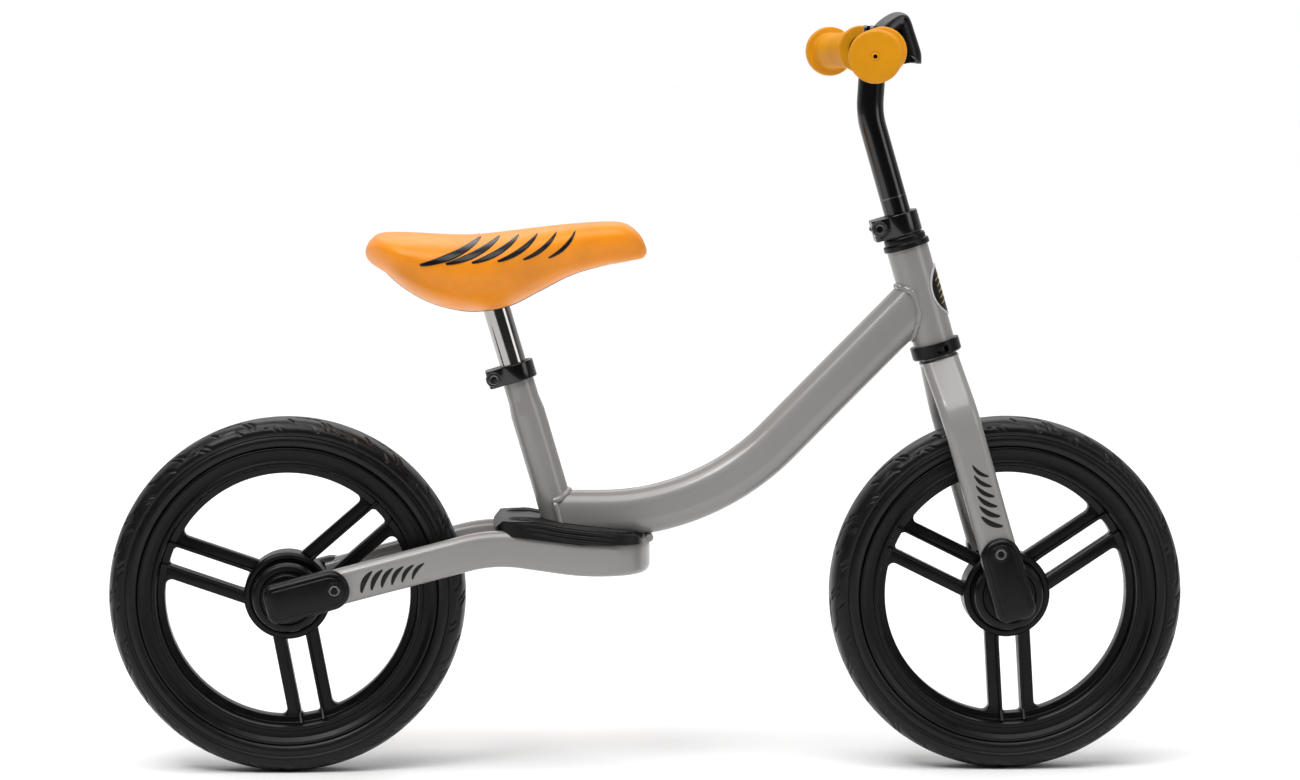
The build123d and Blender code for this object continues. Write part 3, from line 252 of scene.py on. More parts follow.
class Form:
    """A mesh being put together, in millimetres in the bike's frame."""

    def __init__(self):
        self.mesh = bmesh.new()

    def grid(self, rows, around=False, along=False, capped=False):
        """Quads between rows of points; `around` closes each row, `along` joins last to first."""
        made = [[self.mesh.verts.new(p) for p in row] for row in rows]
        length = len(made[0])
        for i in range(len(made) if along else len(made) - 1):
            low, high = made[i], made[(i + 1) % len(made)]
            for j in range(length if around else length - 1):
                k = (j + 1) % length
                self.mesh.faces.new((low[j], low[k], high[k], high[j]))
        if capped:
            self.mesh.faces.new(made[0])
            self.mesh.faces.new(list(reversed(made[-1])))
        return self

    def turn(self, outline, place, segments):
        """A closed outline of (radius, height) points turned about the place's local Z axis."""
        rows = []
        for i in range(segments):
            angle = 2 * pi * i / segments
            rows.append([place @ Vector((r * cos(angle), r * sin(angle), h)) for r, h in outline])
        return self.grid(rows, around=True, along=True)

    def tube(self, path, radius, sides=10, closed=False):
        """A round bead along points; `radius` gives its size from the point's number."""
        rows = []
        count = len(path)
        side = None
        for i, here in enumerate(path):
            ahead = path[(i + 1) % count] if closed or i + 1 < count else here
            behind = path[i - 1] if closed or i > 0 else here
            along = (ahead - behind).normalized()
            if side is None:
                side = along.orthogonal().normalized()
            side = (side - along * side.dot(along)).normalized()
            other = along.cross(side)
            size = radius(i)
            ring = []
            for k in range(sides):
                angle = 2 * pi * k / sides
                ring.append(here + size * (cos(angle) * side + sin(angle) * other))
            rows.append(ring)
        return self.grid(rows, around=True, along=closed, capped=not closed)

    def slab(self, outline, low, high, edge, place, steps):
        """A plate from a closed outline, between two local Z heights, with round edges."""
        count = len(outline)
        inward = []
        area = sum(
            outline[i - 1][0] * outline[i][1] - outline[i][0] * outline[i - 1][1] for i in range(count)
        )
        turn = copysign(1, area)
        for i in range(count):
            tangent = Vector(outline[(i + 1) % count]) - Vector(outline[i - 1])
            inward.append(Vector((-tangent.y, tangent.x)).normalized() * turn)
        rows = []
        for height, way in ((low, 1), (high, -1)):
            for k in range(steps + 1):
                angle = pi / 2 * (k if way == 1 else steps - k) / steps
                shrink = edge * (1 - sin(angle))
                z = height + way * edge * (1 - cos(angle))
                ring = [Vector(p) + n * shrink for p, n in zip(outline, inward)]
                rows.append([place @ Vector((p.x, p.y, z)) for p in ring])
        return self.grid(rows, around=True, capped=True)

    def finish(self, name, body, slot, replaced=(), material=None, sharp=38.0):
        """Makes the object, in metres, on its body and with its finish."""
        bmesh.ops.remove_doubles(self.mesh, verts=self.mesh.verts, dist=0.002)
        bmesh.ops.dissolve_degenerate(self.mesh, edges=self.mesh.edges, dist=0.001)
        bmesh.ops.recalc_face_normals(self.mesh, faces=self.mesh.faces)
        bmesh.ops.scale(self.mesh, vec=(MM, MM, MM), verts=self.mesh.verts)
        data = bpy.data.meshes.new(name)
        self.mesh.to_mesh(data)
        self.mesh.free()
        data.materials.append(material or MATERIALS[slot])
        data.shade_smooth()
        data.set_sharp_from_angle(angle=radians(sharp))
        made = add_object(name, data)
        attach(made, body)
        if replaced:
            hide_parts(*replaced)
        return made


def across(place, side):
    """A place whose local Z axis points outwards along Y on one side of the bike, keeping X."""
    return place @ Matrix.Rotation(radians(-90 * side), 4, "X")


# ---- wheels ----
TYRE_SHOULDER_R = 136.4
TYRE_SHOULDER_Y = 22.4
TREAD_PITCHES = 14
PITCH_STEPS = 64
TREAD_POINTS = 26  # across half the tread
GROOVE_DEPTH = 1.2
GROOVE_HALF_WIDTH = 0.85
GROOVE_SLANT = 0.35  # how far a groove's floor lies inwards, as a share of its depth
# grooves in one pitch, as (share of pitch, mm from the shoulder) runs
GROOVES = (
    ((0.04, 1.2), (0.12, 6.2), (0.40, 7.6), (0.49, 15.5)),
    ((0.13, 1.2), (0.19, 4.4), (0.47, 5.8), (0.56, 15.0)),
    ((0.60, 2.6), (0.68, 7.4), (0.90, 8.6), (0.98, 15.5)),
    ((0.58, 19.5), (0.88, 23.0)),
)


def distance_to_run(point, start, end):
    along = end - start
    t = max(0.0, min(1.0, (point - start).dot(along) / along.length_squared))
    return (point - start - along * t).length


def groove_depth(share, across_mm, pitch):
    """How far the tread is cut at a place in its pattern."""
    nearest = 99.0
    for run in GROOVES:
        for wrap in (-1, 0, 1):
            here = Vector(((share + wrap) * pitch, across_mm))
            for a, b in zip(run, run[1:]):
                start, end = Vector((a[0] * pitch, a[1])), Vector((b[0] * pitch, b[1]))
                nearest = min(nearest, distance_to_run(here, start, end))
    depth = min(1.0, max(0.0, 1.6 - nearest / GROOVE_HALF_WIDTH))
    return GROOVE_DEPTH * depth * depth * (3 - 2 * depth)


# half the tyre's section from its seat to the tread's shoulder, as (radius, y)
TYRE_SIDE = [(117.0, 14.0), (119.0, 17.0), (123.5, 18.6), (123.6, 19.6), (124.3, 20.6), (125.6, 21.5)]
TYRE_SIDE += [(127.4, 22.2), (129.4, 22.5), (131.2, 22.2), (132.4, 21.5), (133.0, 21.3), (133.5, 21.9)]
TYRE_SIDE += [(134.0, 22.3), (134.5, 21.9), (135.0, 22.0), (135.6, 22.5)]


def tread_half():
    """Half the uncut tread's section from its shoulder to the middle, as (radius, y)."""
    points = []
    for k in range(TREAD_POINTS + 1):
        t = pi / 2 * k / TREAD_POINTS
        rise = WHEEL_R - TYRE_SHOULDER_R
        y = TYRE_SHOULDER_Y * max(0.0, cos(t)) ** 0.8
        points.append((TYRE_SHOULDER_R + rise * sin(t) ** 0.95, y))
    return points


def tread_cuts(tread):
    """The depth of the cut at each step round a pitch and each point of half the tread."""
    pitch = 2 * pi * WHEEL_R / TREAD_PITCHES
    cuts = {}
    reach = 0.0
    for k, (r, y) in enumerate(tread):
        if k:
            reach += hypot(r - tread[k - 1][0], y - tread[k - 1][1])
        for step in range(PITCH_STEPS):
            cuts[step, k] = groove_depth(step / PITCH_STEPS, reach, pitch)
    return cuts


def make_tyre(prefix, axle, body):
    """One closed ring whose tread repeats; its far half is half a pitch out of step."""
    tread = tread_half()
    cuts = tread_cuts(tread)
    rows = []
    for i in range(TREAD_PITCHES * PITCH_STEPS):
        angle = 2 * pi * i / (TREAD_PITCHES * PITCH_STEPS)
        section = list(TYRE_SIDE)
        for k, (r, y) in enumerate(tread):
            cut = cuts[i % PITCH_STEPS, k]
            section.append((r - cut, y - GROOVE_SLANT * cut))
        for k in reversed(range(TREAD_POINTS)):
            r, y = tread[k]
            cut = cuts[(i + PITCH_STEPS // 2) % PITCH_STEPS, k]
            section.append((r - cut, -y + GROOVE_SLANT * cut))
        section += [(r, -y) for r, y in reversed(TYRE_SIDE)]
        rows.append([axle + Vector((r * cos(angle), y, r * sin(angle))) for r, y in section])
    form = Form().grid(rows, around=True, along=True)
    form.finish(prefix + "_tyre_tread", body, "tyre_foam", [prefix + "_tyre"], sharp=60)


RING_R = 101.2
LIP_R = 110.0
HUB_R = 35.5
BAR_WIDTH = 11.0
BAR_GAP = 16.0
PLATE_HALF = 6.0
PLATE_EDGE = 1.6
RIDGE_HALF = 9.0
RIDGE_WIDTH = 2.6


def arc_between(start, end, radius, steps):
    """The corners of an arc about the wheel's centre, without its two ends."""
    low, high = atan2(start.y, start.x), atan2(end.y, end.x)
    angles = [low + (high - low) * k / steps for k in range(1, steps)]
    return [(radius * cos(angle), radius * sin(angle), 0) for angle in angles]


def bar_windows():
    """The wheel's open windows: a narrow one inside a pair of bars that points along local X, and
    the wide one between it and the next pair."""
    inner = BAR_GAP / 2
    outer = BAR_GAP / 2 + BAR_WIDTH

    def on_circle(radius, offset):
        return Vector((sqrt(radius**2 - offset**2), offset))

    slot = [(*on_circle(HUB_R, -inner), 1.5), (*on_circle(RING_R, -inner), 6.0)]
    slot += [(RING_R, 0, 0), (*on_circle(RING_R, inner), 6.0), (*on_circle(HUB_R, inner), 1.5)]
    third = Matrix.Rotation(radians(120), 2)
    start_hub, start_ring = on_circle(HUB_R, outer), on_circle(RING_R, outer)
    end_hub, end_ring = third @ on_circle(HUB_R, -outer), third @ on_circle(RING_R, -outer)
    wide = [(*start_hub, 3.0), (*start_ring, 8.5)]
    wide += arc_between(start_ring, end_ring, RING_R, 40)
    wide += [(*end_ring, 8.5), (*end_hub, 3.0)]
    wide += arc_between(end_hub, start_hub, HUB_R, 12)
    return slot, wide


def corner_rounded(corners):
    """Like rounded(), but cuts an arc's corner back along finely divided neighbours."""
    kept = []
    for i, (a, b, radius) in enumerate(corners):
        near = False
        for step in (-4, -3, -2, -1, 1, 2, 3, 4):
            x, y, size = corners[(i + step) % len(corners)]
            near = near or hypot(x - a, y - b) < 1.25 * size
        if radius > 0 or not near:
            kept.append((a, b, radius))
    return rounded(kept, 6)


def make_web(axle, angles):
    """The flat bars between hub and rim, cut out of one plate with round edges."""
    slot, wide = bar_windows()
    curve = bpy.data.curves.new("web", "CURVE")
    curve.dimensions = "2D"
    curve.fill_mode = "BOTH"
    loops = [circle(LIP_R - 3, 180)]
    for angle in angles:
        spin = Matrix.Rotation(radians(angle), 2)
        loops += [[spin @ p for p in corner_rounded(shape)] for shape in (slot, wide)]
    for loop in loops:
        spline = curve.splines.new("POLY")
        spline.points.add(len(loop) - 1)
        for point, place in zip(spline.points, loop):
            point.co = (*place, 0, 1)
        spline.use_cyclic_u = True
    curve.extrude = PLATE_HALF - PLATE_EDGE
    curve.bevel_depth = PLATE_EDGE
    curve.bevel_resolution = 3
    curve.offset = -PLATE_EDGE
    scratch = bpy.data.objects.new("web_curve", curve)
    mesh = bpy.data.meshes.new_from_object(scratch)
    form = Form()
    form.mesh.from_mesh(mesh)
    place = across(Matrix.Translation(axle), -1)
    bmesh.ops.transform(form.mesh, matrix=place, verts=form.mesh.verts)
    bpy.data.objects.remove(scratch)
    bpy.data.curves.remove(curve)
    bpy.data.meshes.remove(mesh)
    return form


# halves of the sections of rim and hub, as (radius, y, corner)
RIM_HALF = [(RING_R, 4.0, 1.0), (RING_R + 0.2, 7.6, 0.8), (LIP_R - 2.6, 8.4, 1.6), (LIP_R - 1.4, 20.6, 0.7)]
RIM_HALF += [(LIP_R + 1.6, 20.6, 0.8), (LIP_R + 2.6, 19.2, 0.8), (117.6, 19.6, 1.5), (121.4, 21.9, 1.0)]
RIM_HALF += [(123.4, 21.7, 0.7), (123.4, 18.9, 0), (119.0, 17.0, 0), (117.0, 14.0, 0)]
HUB_HALF = [(8.0, 16.9, 0.4), (26.0, 16.9, 0.4), (27.0, 14.2, 0.4), (30.4, 14.2, 0.4), (31.2, 15.4, 0.5)]
HUB_HALF += [(34.2, 15.4, 1.0), (HUB_R + 0.6, 13.6, 1.0), (HUB_R + 0.6, 7.0, 1.5)]
# half the outline of a ridge along a spoke
RIDGE_EDGE = [
    (LIP_R - 3.5, RIDGE_HALF + 5.5, 0),
    (RING_R - 4, RIDGE_HALF, 6),
    (HUB_R + 5, RIDGE_HALF, 6),
    (HUB_R - 4, RIDGE_HALF + 3, 0),
]


def make_rim(prefix, axle, body, angles):
    form = make_web(axle, angles)
    flat = across(Matrix.Translation(axle), -1)
    form.turn(rounded(mirrored(RIM_HALF), 4), flat, 192)
    ridge_outline = rounded(mirrored(RIDGE_EDGE), 4)
    for angle in angles:
        pair = flat @ Matrix.Rotation(radians(angle), 4, "Z")
        for side in (-1, 1):
            middle = side * (BAR_GAP / 2 + RIDGE_WIDTH / 2)
            ridge = pair @ Matrix.Translation((0, middle, 0)) @ Matrix.Rotation(radians(90), 4, "X")
            form.slab(ridge_outline, -RIDGE_WIDTH / 2, RIDGE_WIDTH / 2, 0.9, ridge, 3)
    form.turn(rounded(mirrored(HUB_HALF), 4), flat, 96)
    form.finish(prefix + "_rim_moulding", body, "rim_plastic", [prefix + "_rim"])


HUB_CAP = [(7.6, 17.2, 0), (28.4, 17.2, 0.4), (28.8, 24.0, 2.0), (28.0, 30.8, 3.4), (22.5, 30.8, 0.8)]
HUB_CAP += [(21.6, 29.7, 0.5), (19.8, 29.7, 0.5), (18.8, 30.9, 0.8), (7.6, 30.9, 0.6)]


def make_hub_caps(prefix, axle, body):
    for side, word in SIDES:
        form = Form().turn(rounded(HUB_CAP, 6), across(Matrix.Translation(axle), side), 96)
        node = f"{prefix}_hub_cap_{word}"
        form.finish(node + "_dished", body, "black_plastic", [node])


COVER_LOW = 37.5
COVER_HIGH = 58.6
COVER_SCREW_X = 40.5
SOCKET_R = 2.5  # of the screws' hexagonal sockets, across their flats


def make_axle_covers(prefix, end, body):
    """The moulded covers over the axle nuts: a box with a round front end and a raised face."""
    half = 16.25
    box = rounded([(-17.5, -half, 9), (-17.5, half, 9), (52.5, half, 15.6), (52.5, -half, 15.6)], 10)
    face = rounded([(-13.2, -11.6, 6), (-13.2, 11.6, 6), (47.6, 11.6, 11.4), (47.6, -11.6, 11.4)], 10)
    foot, top = COVER_HIGH - 1.0, COVER_HIGH + 0.2
    ring = rounded([(5.2, foot, 0), (5.2, top, 0.3), (6.6, top, 0.5), (7.2, foot, 0)], 3)
    for side, word in SIDES:
        place = across(end, side)
        form = Form().slab(box, COVER_LOW, COVER_HIGH - 1.6, 4.2, place, 6)
        form.slab(face, COVER_HIGH - 4.0, COVER_HIGH, 1.3, place, 4)
        form.turn(ring, place @ Matrix.Translation((COVER_SCREW_X, 0, 0)), 40)
        node = f"{prefix}_axle_cover_{word}"
        form.finish(node + "_moulding", body, "black_plastic", [node])


def socket_head(form, place, radius, low, high):
    """A round screw head with a hexagonal socket, standing along local Z."""
    sides = 36

    def ring(r, z):
        return [place @ Vector((a, b, z)) for a, b in circle(r, sides)]

    def hexagon(z):
        points = []
        for k in range(sides):
            angle = 2 * pi * k / sides
            r = SOCKET_R / cos((angle + pi / 6) % (pi / 3) - pi / 6)
            points.append(place @ Vector((r * cos(angle), r * sin(angle), z)))
        return points

    rows = [ring(radius, low), ring(radius, high - 0.7), ring(radius - 0.2, high - 0.2)]
    rows += [ring(radius - 0.7, high), ring(SOCKET_R + 1.0, high)]
    rows += [hexagon(high - 0.3), hexagon(high - 2.6)]
    form.grid(rows, around=True, capped=True)


def make_cover_screws(prefix, end, body):
    form = Form()
    for side in (-1, 1):
        place = across(end, side) @ Matrix.Translation((COVER_SCREW_X, 0, 0))
        socket_head(form, place, 4.9, 55.0, 59.4)
    form.finish(prefix + "_cover_socket_screws", body, "black_steel", [prefix + "_cover_screws"])


def make_wheels():
    for prefix, axle, end, angles, holder in (
        ("rear", REAR_AXLE, REAR_END, (-79.0, 161.0, 41.0), "frame"),
        ("front", FRONT_AXLE, FRONT_END, (-86.3, 153.7, 33.7), "fork"),
    ):
        body = prefix + "_wheel"
        make_tyre(prefix, axle, body)
        make_rim(prefix, axle, body, angles)
        make_hub_caps(prefix, axle, body)
        make_axle_covers(prefix, end, holder)
        make_cover_screws(prefix, end, holder)


# ---- upper steering cup and welds ----
def make_upper_cup():
    cup = [(12.8, 41.0, 0), (19.3, 41.0, 0.6), (19.3, 45.6, 1.4), (17.4, 46.2, 0.5)]
    cup += [(17.6, 48.0, 0.6), (17.2, 51.6, 2.6), (12.8, 51.7, 0)]
    form = Form().turn(rounded(cup, 6), HEAD, 96)
    form.finish("upper_head_cup_rounded", "frame", "black_plastic", ["upper_head_cup"])


def ripple(seed, size):
    """A bead's radius, uneven like a hand-laid weld."""

    def radius(i):
        wave = abs(sin(i * 0.9)) ** 0.6
        wander = noise.noise(Vector((i * 0.31, seed * 7.3, 1.7)))
        return size * (0.84 + 0.2 * wave + 0.42 * wander)

    return radius


def butt_joint(start, along, up, joined, radius):
    """Points where the main tube, running along `along`, meets a round tube on local Z."""
    side, top = MAIN_WIDTH / 2, MAIN_HEIGHT / 2
    corners = ((-side, -top), (side, -top), (side, top), (-side, top))
    outline = rounded([(a, b, MAIN_CORNER) for a, b in corners], 24)
    axis = (joined.to_3x3() @ Vector((0, 0, 1))).normalized()
    points = []
    for across_mm, up_mm in outline:
        p = start + Vector((0, 1, 0)) * across_mm + up * up_mm - joined.translation
        p_flat = p - axis * p.dot(axis)
        d_flat = along - axis * along.dot(axis)
        a = d_flat.length_squared
        b = 2 * p_flat.dot(d_flat)
        c = p_flat.length_squared - radius**2
        t = (-b - sqrt(max(0.0, b * b - 4 * a * c))) / (2 * a)
        points.append(p + along * t + joined.translation)
    return points


# where the front bend of the stays meets the underside of the main tube
STAY_WELD_X = 0.2
STAY_WELD_Z = 194.2
CROWN_WELD_Z = -56.0
CROWN_WELD_R = 14.9


def make_welds():
    slope = radians(MAIN_SLOPE)
    up_slope = Vector((cos(slope), 0, sin(slope)))
    square_up = Vector((-sin(slope), 0, cos(slope)))
    form = Form()
    joint = butt_joint(HEAD @ Vector((0, 0, -1)), up_slope, square_up, HEAD, HEAD_TUBE_R)
    form.tube(joint, ripple(1, 2.7), closed=True)
    joint = butt_joint(SEAT_FOOT, Vector((-1, 0, 0)), Vector((0, 0, 1)), SEAT, SEAT_TUBE_R)
    form.tube(joint, ripple(2, 2.9), closed=True)
    under = [Vector((STAY_WELD_X, y, STAY_WELD_Z + 0.004 * y * y)) for y in range(-15, 16)]
    form.tube(under, ripple(4, 3.0))
    form.finish("frame_weld_beads", "frame", "frame_paint", material=WELD)
    neck = [HEAD @ Vector((a, b, CROWN_WELD_Z)) for a, b in circle(CROWN_WELD_R, 64)]
    crown = Form().tube(neck, ripple(3, 2.1), closed=True)
    crown.finish("crown_weld_bead", "fork", "frame_paint", material=WELD)


# ---- saddle ----
SADDLE_REAR = -234.6
SADDLE_NOSE = -2.4
# x, then the heights of the top and of the underside in the bike's middle plane
SADDLE_SIDE = (
    (-236.0, 442.5, 421.5),
    (-221.0, 446.8, 416.5),
    (-204.0, 447.2, 402.9),
    (-187.0, 446.6, 392.5),
    (-169.0, 445.8, 385.9),
    (-145.0, 445.8, 382.4),
    (-117.0, 448.8, 386.6),
    (-91.0, 452.2, 399.3),
    (-65.0, 455.0, 412.4),
    (-38.0, 456.8, 420.4),
    (-20.0, 455.4, 423.6),
    (-9.0, 447.0, 425.6),
    (0.0, 434.0, 427.4),
)
# x, then half the saddle's width
SADDLE_PLAN = ((-236.0, 58.0), (-205.0, 68.5), (-165.0, 71.0), (-125.0, 63.0))
SADDLE_PLAN += ((-85.0, 44.0), (-45.0, 29.5), (0.0, 24.0))
SADDLE_SHOULDER = 0.62  # share of the height where the saddle is widest
# how full the section's upper and lower quarters are, as powers of a sine
SADDLE_TOP_POWER = 0.82
SADDLE_LOW_POWER = 0.86
SADDLE_SIDE_POWER = 0.92


def end_share(x, rear, nose, power):
    """How much is left near the saddle's ends, rounded over a length at each."""
    share = 1.0
    for gap, length in ((x - SADDLE_REAR, rear), (SADDLE_NOSE - x, nose)):
        if gap < length:
            share = (1 - (1 - max(0.0, gap) / length) ** power) ** (1 / power)
    return share


def saddle_section(x):
    """Top, widest height, underside and half width of the saddle at one place."""
    top, low = smooth_through(SADDLE_SIDE, x)
    wide = smooth_through(SADDLE_PLAN, x)[0]
    middle = low + (top - low) * SADDLE_SHOULDER
    centre = low + (top - low) * 0.46
    tall = end_share(x, 13.0, 5.0, 2.1)
    return (
        centre + (top - centre) * tall,
        centre + (middle - centre) * tall,
        centre + (low - centre) * tall,
        wide * end_share(x, 34.0, 25.0, 2.2),
    )


def saddle_skin(x, angle, proud=0.0):
    """A point of the skin: angle 0 is its left edge, 90 degrees its top."""
    top, middle, low, wide = saddle_section(x)
    c, s = cos(angle), sin(angle)
    y = (wide + proud) * copysign(abs(c) ** SADDLE_SIDE_POWER, c)
    if s >= 0:
        z = middle + (top + proud - middle) * s**SADDLE_TOP_POWER
    else:
        z = middle - (middle - low + proud) * (-s) ** SADDLE_LOW_POWER
    return Vector((x, y, z))


def saddle_flank(x, z, side, proud):
    """The point of the flank at a height, a little proud of the skin."""
    top, middle, low, wide = saddle_section(x)
    if z >= middle:
        s = min(1.0, (z - middle) / max(0.1, top - middle)) ** (1 / SADDLE_TOP_POWER)
    else:
        s = min(1.0, (middle - z) / max(0.1, middle - low)) ** (1 / SADDLE_LOW_POWER)
    y = wide * sqrt(max(0.0, 1 - s * s)) ** SADDLE_SIDE_POWER
    return Vector((x, side * (y + proud), z + (proud * 0.4 if z > middle else 0)))


def make_saddle_skin():
    rows = []
    stations = 64
    around = 72
    for i in range(stations + 1):
        x = SADDLE_REAR + (SADDLE_NOSE - SADDLE_REAR) * (1 - cos(pi * i / stations)) / 2
        x = min(max(x, SADDLE_REAR + 0.02), SADDLE_NOSE - 0.02)
        rows.append([saddle_skin(x, 2 * pi * k / around) for k in range(around)])
    form = Form().grid(rows, around=True, capped=True)
    skin = form.finish("saddle_skin", "saddle", "saddle_orange", ["saddle_pad"], sharp=80)
    soften(skin)


def make_saddle_base():
    """The moulded plate under the padding, which follows its underside."""
    rows = []
    for i in range(49):
        x = SADDLE_REAR + 16 + (SADDLE_NOSE - SADDLE_REAR - 30) * i / 48
        inset = radians(15) * sin(pi * i / 48) ** 0.35
        angles = [radians(270) - inset * (1 - k / 12) for k in range(25)]
        rows.append([saddle_skin(x, angle, -0.6) for angle in angles])
    plate = Form().grid(rows).finish("saddle_base_moulding", "saddle", "black_plastic", sharp=60)
    thicken(plate, 1.6)


def make_saddle_socket():
    """The socket on top of the seat post, with ribs all round."""
    low, wide, top = 181.0, 196.0, 203.0
    socket = rounded(
        [(11.2, low, 0.6), (15.6, low, 1.4), (18.5, wide, 2), (18.5, top, 0), (11.2, top, 0)], 4
    )
    rib = rounded(
        [(14.5, 183.5, 0), (16.4, 183.5, 0.8), (25.0, wide, 2), (25, top, 0), (14.5, top, 0)], 3
    )
    form = Form().turn(socket, SEAT, 64)
    for k in range(8):
        spin = SEAT @ Matrix.Rotation(2 * pi * (k + 0.5) / 8, 4, "Z")
        form.slab(rib, -1.1, 1.1, 0.5, spin @ Matrix.Rotation(radians(90), 4, "X"), 2)
    form.finish("saddle_socket_ribs", "saddle", "black_plastic", ["saddle_pan"])


def soften(skin):
    """A few gentle presses into the skin, like the moulding of a real saddle."""
    for vertex in skin.data.vertices:
        x, y, z = (c / MM for c in vertex.co)
        top = saddle_section(min(max(x, SADDLE_REAR + 0.1), SADDLE_NOSE - 0.1))[0]
        depth = max(0.0, 1 - (top - z) / 9.0)
        channel = 1.5 * depth * max(0.0, 1 - (y / 11.0) ** 2) * max(0.0, 1 - ((x + 110) / 70) ** 2)
        wave = 0.25 * noise.noise(Vector((x * 0.02, y * 0.03, z * 0.02)))
        vertex.co.z -= (channel + wave) * MM
    smooth = skin.modifiers.new("smooth", "SUBSURF")
    smooth.levels = smooth.render_levels = 1
    apply_modifiers(skin)


def apply_modifiers(made):
    """Turns an object's modifiers into its mesh."""
    bpy.context.view_layer.update()
    graph = bpy.context.evaluated_depsgraph_get()
    mesh = bpy.data.meshes.new_from_object(made.evaluated_get(graph))
    made.modifiers.clear()
    made.data = mesh


def thicken(made, thickness):
    """Gives a sheet its thickness, half of it on each side, so that it is a closed shape."""
    thick = made.modifiers.new("thickness", "SOLIDIFY")
    thick.thickness = thickness * MM
    thick.offset = 0
    apply_modifiers(made)


def tapered_blade(root, tip, width, bow):
    """Two edges of a leaf-like stripe between two places, as pairs of plan points."""
    root, tip = Vector(root), Vector(tip)
    along = tip - root
    sideways = Vector((-along.y, along.x)).normalized()
    pairs = []
    steps = 22
    for k in range(steps + 1):
        t = k / steps
        spine = root + along * t + sideways * bow * 4 * t * (1 - t)
        half = width / 2 * (sin(pi * min(1.0, t * 0.94 + 0.05)) ** 0.55)
        pairs.append((spine - sideways * half, spine + sideways * half))
    return pairs


def blade_rows(blade, steps, on_skin):
    """Rows of points over a stripe, each laid on its piece by `on_skin`."""
    rows = []
    for edge_a, edge_b in blade:
        rows.append([on_skin(edge_a.lerp(edge_b, k / steps)) for k in range(steps + 1)])
    return rows


FLANK_STRIPES = tuple(
    ((-190 + 21.0 * k, 424.5 + 0.9 * k), (-140 + 15.5 * k, 445.2 + 1.1 * k), 5.6 - 0.45 * k, -3.0)
    for k in range(6)
)


def make_flank_stripes():
    """Plain tapered stripes printed on the saddle's flanks."""
    form = Form()
    for side in (-1, 1):
        for root, tip, width, bow in FLANK_STRIPES:
            blade = tapered_blade(root, tip, width, bow)
            form.grid(blade_rows(blade, 6, lambda p: saddle_flank(p.x, p.y, side, 0.16)))
    made = form.finish("saddle_flank_stripes", "saddle", "black_plastic", material=DECAL_BLACK, sharp=80)
    thicken(made, 0.25)


def make_saddle():
    make_saddle_skin()
    make_saddle_base()
    make_saddle_socket()
    make_flank_stripes()


# ---- stripes on the tubes and the plain head badge ----
def blade_side(along, height, proud):
    """A point on the outer side of a stay or a fork blade, in its own frame."""
    over = abs(height) - (BLADE_HALF_HEIGHT - BLADE_HALF_WIDTH)
    y = BLADE_HALF_WIDTH if over <= 0 else sqrt(max(0.0, BLADE_HALF_WIDTH**2 - over**2))
    return Vector((along, height, y + proud))


STRIPE_START = 61.0  # along the tube, from the axle
STRIPE_SPACING = 8.6
STRIPE_FOOT = -8.5
STRIPE_RUN = 13.0
STRIPE_RISE = 15.0


def make_tube_stripes(name, end, body):
    """Six plain tapered stripes on each side, on the stays or on the fork blades."""
    form = Form()
    for side in (-1, 1):
        place = across(end, side) @ Matrix.Translation((0, 0, BLADE_Y))
        for n in range(6):
            x = STRIPE_START + n * STRIPE_SPACING
            tip = (x + STRIPE_RUN, STRIPE_FOOT + STRIPE_RISE * (1 - 0.06 * n))
            blade = tapered_blade((x, STRIPE_FOOT), tip, 4.4 - 0.25 * n, 2.0)
            form.grid(blade_rows(blade, 4, lambda p: place @ blade_side(p.x, -side * p.y, 0.12)))
    made = form.finish(name, body, "black_plastic", material=DECAL_BLACK, sharp=80)
    thicken(made, 0.2)


def make_badge():
    """A plain oval plaque, bent round the front of the head tube."""

    def on_tube(a, b, proud):
        r = HEAD_TUBE_R + proud
        angle = a / HEAD_TUBE_R
        return HEAD @ Vector((r * cos(angle), r * sin(angle), b))

    def disc(form, half_wide, half_high, low, high, hole):
        rows = []
        shares = (hole, hole, 0.5 * (1 + hole), 0.94, 1.0, 1.0)
        heights = (low, high, high, high, high - 0.25, low)
        for share, proud in zip(shares, heights):
            points = [(share * half_wide * a, share * half_high * b) for a, b in circle(1, 72)]
            rows.append([on_tube(a, b, proud) for a, b in points])
        form.grid(rows, around=True, along=True)

    plaque = Form()
    disc(plaque, 19.0, 21.5, -0.4, 0.9, 0.02)
    plaque.finish("head_badge", "frame", "black_plastic", material=DECAL_BLACK, sharp=50)
    border = Form()
    disc(border, 19.3, 21.9, -0.2, 1.1, 0.965)
    border.finish("head_badge_border", "frame", "steel", material=DECAL_PALE, sharp=50)
    lines = Form()
    for n in range(5):
        blade = tapered_blade((-12.0, -11 + 5 * n), (12.0, -7 + 5 * n), 1.5, 1.6)
        lines.grid(blade_rows(blade, 2, lambda p: on_tube(p.x, p.y, 1.0)))
    made = lines.finish("head_badge_lines", "frame", "steel", material=DECAL_GOLD, sharp=50)
    thicken(made, 0.15)


# ---- handlebar ----
STEM_BEND = 156.0  # the stem's bend, above the head tube's middle
STEM_TOP = 53.2  # from that bend to the crossbar's middle
STEM_TOP_LEAN = radians(3.3)
BAR_CENTRE = HEAD @ Vector((0, 0, STEM_BEND)) + STEM_TOP * Vector(
    (sin(STEM_TOP_LEAN), 0, cos(STEM_TOP_LEAN))
)
GRIP_LENGTH = 110.0
# each side of the bar: where it bends and ends, and how far back and down its end is
BAR_BEND_Y = 72.0
BAR_END_Y = 190.0
BAR_SWEEP = 19.0
BAR_DROP = 3.5


